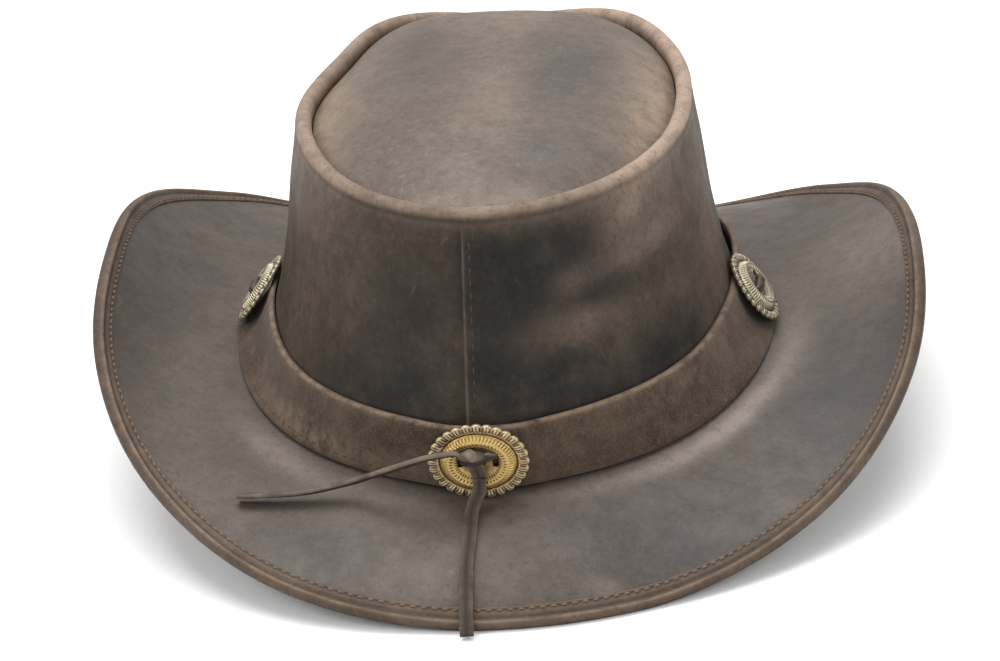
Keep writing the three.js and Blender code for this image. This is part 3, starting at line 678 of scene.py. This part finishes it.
def concho(spot):
    """Stamped oval: ribbed scallops, plain groove, notched ring, two rows of dots, two slots."""
    steps = 504
    rho = np.concatenate([[1.0, 1.0], np.linspace(0.995, 0.02, 70)])
    phi = np.linspace(0, 2 * math.pi, steps, endpoint=False)
    rho, phi = np.meshgrid(rho, phi)
    lobe = np.abs(np.cos(SCALLOPS * phi / 2))
    size = rho * (1 - 0.065 * (1 - lobe**0.6) * step(rho, 0.78, 1))
    x = size * CONCHO_LENGTH / 2 * np.cos(phi)
    y = size * CONCHO_HEIGHT / 2 * np.sin(phi)
    height = np.interp(rho, *np.transpose(RELIEF))
    scallops = step(rho, 0.775, 0.83) * (1 - lobe**0.5)
    fan = step(rho, 0.79, 0.83) * (1 - step(rho, 0.95, 0.985)) * (0.5 + 0.5 * np.cos(3 * SCALLOPS * phi))
    notch = (0.5 + 0.5 * np.cos(NOTCHES * phi)) ** 1.5 * step(rho, 0.6, 0.645)
    dots = 0
    for row, shift in ((0.53, 0), (0.425, 0.5)):
        round_row = np.clip(np.cos(DOTS * phi + shift * 2 * math.pi), 0, 1) ** 1.2
        dots = dots + bell((rho - row) / 0.026) * round_row
    slots = bell((np.abs(x) - SLOT_SPACING / 2) / 1.3) ** 2 * (1 - step(np.abs(y - 1), 1.8, 2.5))
    height = height - SCALLOP_DEPTH * scallops - RIB_DEPTH * fan - DOT_DEPTH * dots
    height = height - NOTCH_DEPTH * notch * (1 - step(rho, 0.71, 0.735))
    height = height - SLOT_DEPTH * step(slots, 0.3, 0.7) * (rho < 0.6)
    height[:, 0] = 0
    height[:, 1] = 0.45
    points = on_frame(concho_frame(spot), x, y, np.clip(height, 0, None))
    count = rho.shape[1]
    faces = []
    for low in range(0, steps * count, count):
        high = (low + count) % (steps * count)
        faces += [[low + j, high + j, high + j + 1, low + j + 1] for j in range(count - 1)]
    faces.append([low + count - 1 for low in range(0, steps * count, count)])
    faces.append(list(reversed(range(0, steps * count, count))))
    name = f"concho_{spot['name']}"
    piece = make_mesh(f"{name}_brass", points, faces, [name])
    hollow = 0.9 * dots + 0.55 * notch * (1 - step(rho, 0.72, 0.74)) + 0.7 * fan + 0.5 * scallops
    hollow = hollow + 1.1 * bell((rho - 0.765) / 0.022)
    # The slots are shallow pits, darkened as painted shade for holes through the brass; the sunk middle is
    # darker as well.
    hollow = hollow + step(slots, 0.2, 0.6) + 0.55 * (1 - step(rho, 0.3, 0.42))
    add_values(piece, "relief", np.clip(1 - hollow, 0, 1))
    add_values(piece, "pale", step(rho, 0.76, 0.84) if spot["name"] == "back" else np.ones_like(rho))
    return piece


def spline(points, steps):
    """Centripetal smooth curve through points, at even steps of its length."""
    points = np.asarray(points, float)
    padded = np.vstack([2 * points[0] - points[1], points, 2 * points[-1] - points[-2]])
    fine = []
    for i in range(1, len(padded) - 2):
        p0, p1, p2, p3 = padded[i - 1:i + 3]
        t0 = 0
        t1 = t0 + max(np.linalg.norm(p1 - p0), 1e-6) ** 0.5
        t2 = t1 + max(np.linalg.norm(p2 - p1), 1e-6) ** 0.5
        t3 = t2 + max(np.linalg.norm(p3 - p2), 1e-6) ** 0.5
        t = np.linspace(t1, t2, 24, endpoint=False)[:, None]
        a1 = (t1 - t) / (t1 - t0) * p0 + (t - t0) / (t1 - t0) * p1
        a2 = (t2 - t) / (t2 - t1) * p1 + (t - t1) / (t2 - t1) * p2
        a3 = (t3 - t) / (t3 - t2) * p2 + (t - t2) / (t3 - t2) * p3
        b1 = (t2 - t) / (t2 - t0) * a1 + (t - t0) / (t2 - t0) * a2
        b2 = (t3 - t) / (t3 - t1) * a2 + (t - t1) / (t3 - t1) * a3
        fine.append((t2 - t) / (t2 - t1) * b1 + (t - t1) / (t2 - t1) * b2)
    fine = np.vstack(fine + [padded[-2:-1]])
    run = run_along(fine)
    return between(np.linspace(0, run[-1], steps), run, fine)


LACE_OUTLINE = [  # across and through the lace in shares of its half sizes, and how near a cut edge
    (-1, -0.55, 1), (-0.86, -1, 0.5), (0, -1, 0), (0.86, -1, 0.5), (1, -0.55, 1),
    (1, 0.55, 1), (0.86, 1, 0.5), (0, 0.88, 0), (-0.86, 1, 0.5), (-1, 0.55, 1),
]


def ragged(name, path, widths, seed, replaced=(), narrow=1):
    """A flat strip of lace along a path, with uneven cut edges; widths point across it."""
    count = len(path)
    ahead = unit(np.gradient(path, axis=0))
    side = square_to(widths, ahead)
    flat = np.cross(side, ahead)
    random = np.random.default_rng(seed)

    def uneven():
        return np.convolve(random.normal(size=count + 8), np.ones(3) / 3, "same")[4:4 + count]

    one_edge = uneven()
    other_edge = uneven()
    rings = []
    for a, b, _ in LACE_OUTLINE:
        half = LACE_WIDTH / 2 * narrow + LACE_UNEVEN * (one_edge if a > 0 else other_edge)
        rings.append(path + side * (a * half)[:, None] + flat * (b * LACE_THICKNESS / 2))
    points = np.stack(rings, 1)
    sides = len(LACE_OUTLINE)
    faces = loop_faces(count, sides, False)
    faces.append(list(range(sides)))
    faces.append([(count - 1) * sides + j for j in reversed(range(sides))])
    piece = make_mesh(name, points, faces, replaced)
    add_values(piece, "cut_edge_and_sheen", np.broadcast_to([cut_edge_and_sheen for _, _, cut_edge_and_sheen in LACE_OUTLINE], (count, sides)))
    return piece


def over_brim(spot, off, raised=0):
    """A point off the middle of the brim's leather, and raised straight up from there."""
    at = np.array([float(spot["at"])])
    r, z = brim_at(at, spot["along"] * brim_width(at), off)
    return place(at, r, z + raised)[0]


conchos = {spot["name"]: concho(spot) for spot in CONCHOS}
frames = {spot["name"]: concho_frame(spot) for spot in CONCHOS}

# Free ends of the lace
knot_frame = frames["back"]
controls = []
for p in BACK_TAIL_ON_CONCHO:
    x = p["across"] * CONCHO_LENGTH / 2
    y = p["up"] * CONCHO_HEIGHT / 2
    controls.append(on_frame(knot_frame, x, y, p["out"] * CONCHO_THICKNESS))
clear = BRIM_LEATHER / 2 + CLEARANCE + LACE_THICKNESS / 2
for p in BACK_TAIL_ON_BRIM:
    controls.append(over_brim(p, clear + p["lift"] * LACE_THICKNESS))
back_path = spline(controls, 70)
tail_back = ragged("tail_back_strip", back_path, knot_frame[1], 3, ["lace_tail_back"])

controls = []
widths = []
for p in SIDE_TAIL:
    controls.append(over_brim(p, 0, BRIM_LEATHER / 2 + p["over"] * LACE_WIDTH))
    a = math.radians(p["turned"])
    widths.append(foot(p["at"])[1] * math.cos(a) + np.array([0, 0, math.sin(a)]))
side_path = spline(controls, 90)
side_widths = between(np.linspace(0, 1, 90), np.linspace(0, 1, len(widths)), widths)
tail_side = ragged("tail_side_strip", side_path, side_widths, 5, ["lace_tail_side"])


# Knot over the back concho: paths of its loops across, up and out
KNOT_LOOPS = [
    [(-4.4, 3.5, 4.6), (-2.4, 3, 4.4)],
    [(6, 2.4, 0.9), (5.9, 2.7, 2), (4.6, 3.2, 3.3), (2.4, 3.2, 4.1), (-0.6, 2.6, 4.4)],
    [(-1.2, 2.2, 5.2), (-0.2, 0.6, 5.6), (0.2, -1.4, 5.4), (0.4, -2.9, 5.1)],
]
KNOT_WIDTHS = [(1, 1.15), (0.2, 1), (1.2, 0.97)]  # shares of the lace's width, at each loop's two ends
KNOT_STEPS = 26
LUMP_MIDDLE = (-1.3, 3, 4.2)
LUMP_SIZE = (4.4, 3.3, 2.4)
LUMP_SIDES = 48
LUMP_FOLDS = [  # angle of each fold in the lump, its slant, half width and depth
    (4.5, 0.5, 0.3, 0.22),
    (1.2, -0.6, 0.25, 0.16),
]


def knot_lump():
    """The rounded fold of lace at the left of the knot."""
    end = math.pi / 2 - 0.06
    tilts, turns = np.meshgrid(
        np.linspace(-end, end, 26),
        np.linspace(0, 2 * math.pi, LUMP_SIDES, endpoint=False),
    )
    size = 1 + 0.1 * np.cos(2 * turns + 0.5) + 0.06 * np.sin(5 * turns + 3 * tilts)
    for at, slant, wide, deep in LUMP_FOLDS:
        size = size - deep * bell((turns - at - slant * tilts) / wide)
    size = size * np.cos(tilts) ** 0.8
    x = LUMP_MIDDLE[0] + LUMP_SIZE[0] * size * np.cos(turns)
    y = LUMP_MIDDLE[1] + LUMP_SIZE[1] * size * np.sin(turns)
    z = LUMP_MIDDLE[2] + LUMP_SIZE[2] * np.sin(tilts)
    count = tilts.shape[1]
    faces = [face for face in loop_faces(LUMP_SIDES, count) if face[0] % count != count - 1]
    starts = range(0, LUMP_SIDES * count, count)
    faces.append(list(reversed(starts)))
    faces.append([start + count - 1 for start in starts])
    piece = make_mesh("knot_lump", on_frame(knot_frame, x, y, z), faces, ())
    # Its upper, outward side gets the pale value: a painted highlight.
    add_values(piece, "cut_edge_and_sheen", 2.4 * np.clip(0.6 * np.sin(tilts) + np.sin(turns) - 0.6, 0, 1))
    return piece


def join(name, pieces):
    """Makes one object of several new ones."""
    bpy.ops.object.select_all(action="DESELECT")
    for piece in pieces:
        piece.select_set(True)
    bpy.context.view_layer.objects.active = pieces[0]
    bpy.ops.object.join()
    pieces[0].name = name
    return pieces[0]


loops = []
for i, loop in enumerate(KNOT_LOOPS):
    points = [on_frame(knot_frame, *p) for p in loop]
    if i == 0:
        points = [side_path[2], side_path[0]] + points
    path = spline(points, KNOT_STEPS)
    sideways = (side_widths[0], knot_frame[2], knot_frame[1])[i]
    replaced = ["lace_knot"] if i == 0 else ()
    narrow = np.linspace(*KNOT_WIDTHS[i], KNOT_STEPS)
    loops.append(ragged(f"loop_{i}", path, sideways, 11 + i, replaced, narrow))
knot = join("knot_loops", [*loops, knot_lump()])

# Laces through the slots of the side conchos
half = SLOT_SPACING / 2
over = CONCHO_MIDDLE + CLEARANCE + LACE_THICKNESS / 2
rise = [(half, 0, 0.4), (half, 0, over - 0.9), (half - 1.2, 0, over + 0.1)]
bridge = [(-x, y, z) for x, y, z in rise] + [(0, 0, over + 0.2)] + rise[::-1]
bridges = []
for side in ("left", "right"):
    path = spline([on_frame(frames[side], *p) for p in bridge], 40)
    bridges.append(ragged(f"lace_bridge_{side}", path, frames[side][2], 17, [f"lace_{side}"], BRIDGE_NARROW))


# Stitches
STITCH_SIDES = 6
STITCH_SECTIONS = [  # share of the length from the middle, share of the width, and lift in widths
    (-0.5, 0.35, -0.25), (-0.36, 0.85, 0.05), (0, 1, 0.22), (0.36, 0.85, 0.05), (0.5, 0.35, -0.25),
]


def stitches(name, path, normals, pitch, length, width):
    """Short raised threads along a path of points with surface normals."""
    run = run_along(path)
    count = int(run[-1] / pitch)
    at = (np.arange(count) + 0.5) * run[-1] / count
    middle = between(at, run, path)
    after = between(np.minimum(at + 0.4, run[-1]), run, path)
    ahead = unit(after - between(np.maximum(at - 0.4, 0), run, path))
    normal = square_to(between(at, run, normals), ahead)
    side = np.cross(normal, ahead)
    rings = []
    for share, fat, lift in STITCH_SECTIONS:
        centre = middle + ahead * share * length + normal * (lift * width - STITCH_SUNK)
        for t in np.linspace(0, 2 * math.pi, STITCH_SIDES, endpoint=False):
            rings.append(centre + (side * math.cos(t) + normal * math.sin(t)) * fat * width / 2)
    last = len(rings) - STITCH_SIDES
    faces = []
    for base in range(0, count * len(rings), len(rings)):
        for low in range(base, base + last, STITCH_SIDES):
            high = low + STITCH_SIDES
            for j in range(STITCH_SIDES):
                k = (j + 1) % STITCH_SIDES
                faces.append([low + j, low + k, high + k, high + j])
        faces.append([base + j for j in reversed(range(STITCH_SIDES))])
        faces.append([base + last + j for j in range(STITCH_SIDES)])
    return make_mesh(name, np.stack(rings, 1), faces, ())


at = np.arange(0, 360.5, 0.5)
path = place(at, *brim_at(at, brim_width(at) - STITCH_INWARD, STITCH_HEIGHT))
lifted = place(at, *brim_at(at, brim_width(at) - STITCH_INWARD, STITCH_HEIGHT + 1))
edge_thread = stitches("edge_stitches", path, lifted - path, pitch=3.3, length=2.1, width=1)

at = np.arange(196, 261, 0.5)
level = np.full(len(at), 0.14)
path = place(at, *band_face(at, level, BAND_FACE))
lifted = place(at, *band_face(at, level, BAND_FACE + 1))
band_thread = stitches("band_stitches", path, lifted - path, pitch=3.6, length=2.2, width=0.5)

level = np.linspace(0.29, 0.9, 60)
at = np.full(60, BACK + math.degrees((-LAP_WIDTH / 2 + 2.4) / CROWN_HALF_WIDTH))
path = place(at, wall_reach(at, level) + lap(at, False), wall_height(at, level))
seam_thread = stitches("seam_stitches", path, foot(at)[1], pitch=3.7, length=2.5, width=0.6)


# Materials
class Look:
    """Short names for a material's nodes."""

    def __init__(self, name):
        self.material = bpy.data.materials.new(name)
        self.material.use_nodes = True
        self.tree = self.material.node_tree
        self.shader = self.tree.nodes["Principled BSDF"]
        self.place = self.node("ShaderNodeTexCoord").outputs["Object"]

    def node(self, kind, **inputs):
        node = self.tree.nodes.new(kind)
        for key, value in inputs.items():
            self.set(node.inputs[key.replace("_", " ")], value)
        return node

    def set(self, socket, value):
        if isinstance(value, bpy.types.NodeSocket):
            self.tree.links.new(value, socket)
        else:
            socket.default_value = value

    def value(self, name):
        node = self.node("ShaderNodeAttribute")
        node.attribute_name = name
        return node.outputs["Fac"]

    def noise(self, scale, detail=4, rough=0.55, stretch=None, turned=(0, 0, 0)):
        place = self.place
        if stretch:
            mapping = self.node("ShaderNodeMapping", Vector=place, Scale=stretch, Rotation=turned)
            place = mapping.outputs["Vector"]
        node = self.node("ShaderNodeTexNoise", Vector=place, Scale=scale, Detail=detail, Roughness=rough)
        return node.outputs["Fac"]

    def cells(self, scale):
        node = self.node("ShaderNodeTexVoronoi", Vector=self.place, Scale=scale)
        return node.outputs["Distance"]

    def fit(self, value, low, high, to_low=0.0, to_high=1.0):
        node = self.node("ShaderNodeMapRange", Value=value)
        node.interpolation_type = "SMOOTHSTEP"
        for key, number in zip(("From Min", "From Max", "To Min", "To Max"), (low, high, to_low, to_high)):
            node.inputs[key].default_value = number
        return node.outputs["Result"]

    def maths(self, operation, a, b):
        node = self.node("ShaderNodeMath")
        node.operation = operation
        self.set(node.inputs[0], a)
        self.set(node.inputs[1], b)
        return node.outputs[0]

    def mix(self, share, a, b):
        node = self.node("ShaderNodeMix")
        node.data_type = "RGBA"
        self.set(node.inputs["Factor"], share)
        self.set(node.inputs["A"], a if isinstance(a, bpy.types.NodeSocket) else (*a, 1))
        self.set(node.inputs["B"], b if isinstance(b, bpy.types.NodeSocket) else (*b, 1))
        return node.outputs["Result"]

    def specks(self, colour, other, scale, detail, rough, low, high, amount):
        """The colour with specks of another one, up to an amount, where a noise is high."""
        return self.mix(self.fit(self.noise(scale, detail, rough), low, high, 0, amount), colour, other)

    def bump(self, height, depth, before=None):
        node = self.node("ShaderNodeBump", Height=height, Strength=1.0, Distance=depth / 1000)
        if before:
            self.set(node.inputs["Normal"], before)
        return node.outputs["Normal"]

    def shade(self, **inputs):
        """Sets the shader's inputs and gives the finished material."""
        for key, value in inputs.items():
            self.set(self.shader.inputs[key.replace("_", " ")], value)
        return self.material


def shade_of(colour, amount):
    return [amount * c for c in colour]


def leather(name, dark, middle, wear_and_sheen, cool, roughness, gloss, marked, even=0.35):
    """Oiled leather in clouds of two colours. Its values "wear_and_sheen" (wear and painted highlights) and
    "cool" (dye and darker tone, with painted shade in creases and grooves) bring in two more.

    marked is the strength of scratches and pale specks, and even how evenly the pale places, wear and
    painted highlights, are covered."""
    look = Look(name)
    colour = look.mix(look.fit(look.noise(26, 6, 0.62), 0.36, 0.64), dark, middle)
    colour = look.specks(colour, shade_of(dark, 0.62), 230, 6, 0.75, 0.42, 0.66, 0.55)
    colour = look.specks(colour, shade_of(middle, 1.5), 310, 6, 0.75, 0.5, 0.72, 0.45)
    patchy = look.fit(look.noise(45, 6, 0.65), 0.3, 0.6, 0.45, 1.0)
    colour = look.mix(look.maths("MULTIPLY", look.value("cool"), patchy), colour, cool)
    blotch = look.fit(look.noise(120, 6, 0.7), 0.28, 0.68, even, 1.2)
    colour = look.mix(look.maths("MULTIPLY", look.value("wear_and_sheen"), blotch), colour, wear_and_sheen)
    scratch = look.fit(look.noise(70, 5, 0.7, (1, 10, 1), (0.3, 0.2, 0.7)), 0.63, 0.72)
    scratch2 = look.fit(look.noise(70, 5, 0.7, (9, 1, 1), (0.1, 0.5, -0.5)), 0.64, 0.73)
    marks = look.maths("MULTIPLY", look.maths("MAXIMUM", scratch, scratch2), marked)
    colour = look.mix(marks, colour, wear_and_sheen)
    colour = look.specks(colour, wear_and_sheen, 420, 5, 0.75, 0.5, 0.75, 0.75 * marked)
    colour = look.specks(colour, shade_of(dark, 0.45), 650, 3, 0.6, 0.5, 0.72, 0.35)
    pebbles = look.maths("POWER", look.cells(1000 / GRAIN), 0.7)
    fine = look.maths("ADD", pebbles, look.maths("MULTIPLY", look.noise(1800, 2), 0.5))
    normal = look.bump(fine, GRAIN_DEPTH)
    normal = look.bump(look.noise(180, 4, 0.6), 0.12, normal)
    normal = look.bump(look.noise(42, 3, 0.5), 0.35, normal)
    rough = look.fit(look.noise(90, 4, 0.6), 0.3, 0.7, roughness - 0.06, roughness + 0.08)
    return look.shade(Base_Color=colour, Roughness=rough, Specular_IOR_Level=gloss, Normal=normal)


def suede(name, dark, middle, wear_and_sheen):
    """Matt leather with a nap, paler where its value "wear_and_sheen" is high."""
    look = Look(name)
    nap = look.noise(1500, 3, 0.7)
    colour = look.mix(look.fit(look.noise(45, 6, 0.65), 0.35, 0.65), dark, middle)
    colour = look.specks(colour, shade_of(middle, 1.6), 170, 6, 0.75, 0.45, 0.7, 0.5)
    rub = look.maths("MULTIPLY", look.value("wear_and_sheen"), look.fit(look.noise(220, 5, 0.7), 0.3, 0.65))
    colour = look.mix(rub, colour, wear_and_sheen)
    colour = look.mix(look.fit(nap, 0.4, 0.75, 0, 0.3), colour, wear_and_sheen)
    normal = look.bump(look.noise(260, 4, 0.6), 0.15, look.bump(nap, 0.12))
    return look.shade(Base_Color=colour, Roughness=0.92, Specular_IOR_Level=0.2, Sheen_Weight=0.08,
                      Sheen_Roughness=0.5, Normal=normal)


def antique_brass(name, yellow, pale):
    """Stamped brass: dark in the hollows with patina, and in the slots with painted shade; yellow on the
    middle and paler on the scallops.
    """
    look = Look(name)
    patina_and_shade = look.maths("ADD", look.value("relief"), look.fit(look.noise(420, 4, 0.6), 0.3, 0.7, -0.12, 0.12))
    bright = look.mix(look.value("pale"), yellow, pale)
    colour = look.mix(look.fit(patina_and_shade, 0.15, 0.85), (0.075, 0.04, 0.018), bright)
    rough = look.fit(patina_and_shade, 0.2, 0.8, 0.6, 0.36)
    return look.shade(Base_Color=colour, Metallic=0.75, Roughness=rough,
                      Normal=look.bump(look.noise(900, 3, 0.6), 0.02))


def lace_look():
    """Dark matt lace, paler at its cut edges and on the upper side of the knot's lump, where the pale is a
    painted highlight.
    """
    look = Look("lace_leather")
    patchy = look.fit(look.noise(160, 4, 0.6), 0.3, 0.65, 0.25, 0.75)
    cut_edge_and_sheen = look.maths("MULTIPLY", look.value("cut_edge_and_sheen"), patchy)
    face = look.mix(look.noise(300, 4, 0.6), (0.016, 0.012, 0.0092), (0.04, 0.03, 0.024))
    return look.shade(Base_Color=look.mix(cut_edge_and_sheen, face, (0.19, 0.15, 0.118)), Roughness=0.75,
                      Specular_IOR_Level=0.2, Normal=look.bump(look.noise(900, 4, 0.7), 0.15))


def thread_look(name, colour):
    look = Look(name)
    return look.shade(Base_Color=look.mix(look.noise(600, 3), shade_of(colour, 0.6), colour), Roughness=0.75,
                      Normal=look.bump(look.noise(3000, 2), 0.05))


GRAIN = 1.1
GRAIN_DEPTH = 0.05
brim_look = leather(
    "brim_leather", dark=(0.051, 0.038, 0.0286), middle=(0.072, 0.0534, 0.0406), wear_and_sheen=(0.2, 0.165, 0.138),
    cool=(0.036, 0.033, 0.032), roughness=0.5, gloss=0.3, marked=0.16, even=0.7,
)
crown_look = leather(
    "crown_leather", dark=(0.034, 0.024, 0.016), middle=(0.064, 0.0455, 0.032), wear_and_sheen=(0.28, 0.205, 0.155),
    cool=(0.0095, 0.008, 0.0066), roughness=0.64, gloss=0.2, marked=0.08, even=0.6,
)
panel_look = leather(
    "panel_leather", dark=(0.074, 0.0558, 0.0434), middle=(0.108, 0.0812, 0.0625), wear_and_sheen=(0.22, 0.16, 0.115),
    cool=(0.044, 0.039, 0.036), roughness=0.52, gloss=0.3, marked=0.36,
)
edge_look = leather(
    "edge_leather", dark=(0.04, 0.026, 0.017), middle=(0.08, 0.053, 0.035), wear_and_sheen=(0.2, 0.138, 0.093),
    cool=(0.016, 0.011, 0.009), roughness=0.58, gloss=0.25, marked=0.25,
)
band_look = suede("band_suede", (0.024, 0.015, 0.0095), (0.06, 0.04, 0.027), (0.18, 0.128, 0.088))
brass_look = antique_brass("antique_brass", (0.47, 0.33, 0.12), (0.42, 0.33, 0.2))
dull_brass = antique_brass("dull_brass", (0.25, 0.22, 0.12), (0.3, 0.27, 0.19))
strip_look = lace_look()
thread = thread_look("brown_thread", (0.15, 0.104, 0.072))
dull_thread = thread_look("dull_thread", (0.036, 0.026, 0.019))


def patch_values(piece, patches, base=0.0):
    """Values from listed patches: each a soft ball at a point in millimetres."""
    co = np.zeros(len(piece.data.vertices) * 3)
    piece.data.vertices.foreach_get("co", co)
    co = co.reshape(-1, 3) * 1000 - SHIFT
    total = np.full(len(co), base)
    for p in patches:
        away = (co - np.array(p["at"])) / np.array(p["size"])
        total = total + p["amount"] * np.exp(-(away**2).sum(1))
    return np.clip(total, 0, 1)


# Pale patches on the brim: painted highlights on its sides, and two small pale places at the back.
BRIM_PALE_AND_SHEEN = [
    {"at": (-104, -50, 38), "size": (12, 34, 20), "amount": 0.12},
    {"at": (128, 30, 60), "size": (24, 40, 40), "amount": 0.5},
    {"at": (38, -146, 14), "size": (6, 3, 20), "amount": 0.4},
    {"at": (-14, -146, 12), "size": (22, 10, 20), "amount": 0.2},
]
BRIM_COOL = [
    {"at": (-62, -138, 14), "size": (34, 12, 30), "amount": 0.25},
    {"at": (64, -130, 20), "size": (40, 20, 30), "amount": 0.6},
    {"at": (118, -60, 40), "size": (30, 50, 40), "amount": 1},
    {"at": (-128, -20, 50), "size": (18, 70, 40), "amount": 0.2},
]
# Paler places on the tip: painted highlights on its left and right shoulders and along its back edge, and a
# worn streak along its middle.
PANEL_WEAR_AND_SHEEN = [
    {"at": (2, -30, 122), "size": (9, 30, 20), "amount": 0.28},
    {"at": (6, 60, 120), "size": (12, 26, 20), "amount": 0.4},
    {"at": (-57, -20, 112), "size": (11, 80, 20), "amount": 0.7},
    {"at": (55, -20, 112), "size": (11, 80, 20), "amount": 0.9},
    {"at": (-30, -88, 110), "size": (30, 6, 20), "amount": 0.4},
    {"at": (30, -88, 110), "size": (30, 6, 20), "amount": 0.3},
]
PANEL_COOL = [
    {"at": (-26, 14, 125), "size": (17, 38, 25), "amount": 0.9},
    {"at": (25, 0, 125), "size": (18, 52, 25), "amount": 0.95},
    {"at": (24, -62, 118), "size": (20, 20, 25), "amount": 0.55},
]
# The brim's pale value: painted highlights along its root and in patches, over a faint even paleness.
root_sheen = np.zeros(len(brim.data.vertices), np.float32)
brim.data.attributes["root"].data.foreach_get("value", root_sheen)
add_values(brim, "wear_and_sheen", np.clip(patch_values(brim, BRIM_PALE_AND_SHEEN, 0.03) + root_sheen, 0, 1))
add_values(brim, "cool", patch_values(brim, BRIM_COOL, 0.1))
add_values(panel, "wear_and_sheen", patch_values(panel, PANEL_WEAR_AND_SHEEN, 0.05))
add_values(panel, "cool", patch_values(panel, PANEL_COOL))

for piece, look in (
    (wall, crown_look), (panel, panel_look), (brim, brim_look), (binding, edge_look), (band, band_look),
    (edge_thread, thread), (seam_thread, dull_thread), (band_thread, dull_thread),
    (conchos["back"], brass_look), (conchos["left"], dull_brass), (conchos["right"], dull_brass),
    *((strip, strip_look) for strip in (knot, tail_back, tail_side, *bridges)),
):
    piece.data.materials.clear()
    piece.data.materials.append(look)

# Floor and light
bpy.ops.mesh.primitive_plane_add(size=12, location=(0, 0, 0))
floor = bpy.context.object
floor.name = "floor"
floor_look = Look("pale_floor")
floor.data.materials.append(floor_look.shade(Base_Color=(0.86, 0.86, 0.86, 1), Roughness=0.9))

world = bpy.data.worlds.new("studio")
bpy.context.scene.world = world
world.use_nodes = True
world.node_tree.nodes["Background"].inputs["Color"].default_value = (1, 1, 1, 1)
world.node_tree.nodes["Background"].inputs["Strength"].default_value = 0.75


def soft_light(name, place, aim, size, power):
    data = bpy.data.lights.new(name, "AREA")
    data.shape = "RECTANGLE"
    data.size, data.size_y = size
    data.energy = power
    light = bpy.data.objects.new(name, data)
    bpy.context.scene.collection.objects.link(light)
    light.location = place
    light.rotation_euler = (Vector(aim) - Vector(place)).to_track_quat("-Z", "Y").to_euler()


soft_light("overhead", (-0.1, 0.25, 1.3), (0, 0, 0.08), (1.3, 0.9), 22)
soft_light("left_window", (-1.1, -0.7, 0.9), (0, 0, 0.06), (0.8, 0.8), 9)
soft_light("right_window", (1.2, -0.5, 0.8), (0, 0, 0.06), (0.8, 0.8), 6)

bpy.context.scene.view_settings.view_transform = "Standard"
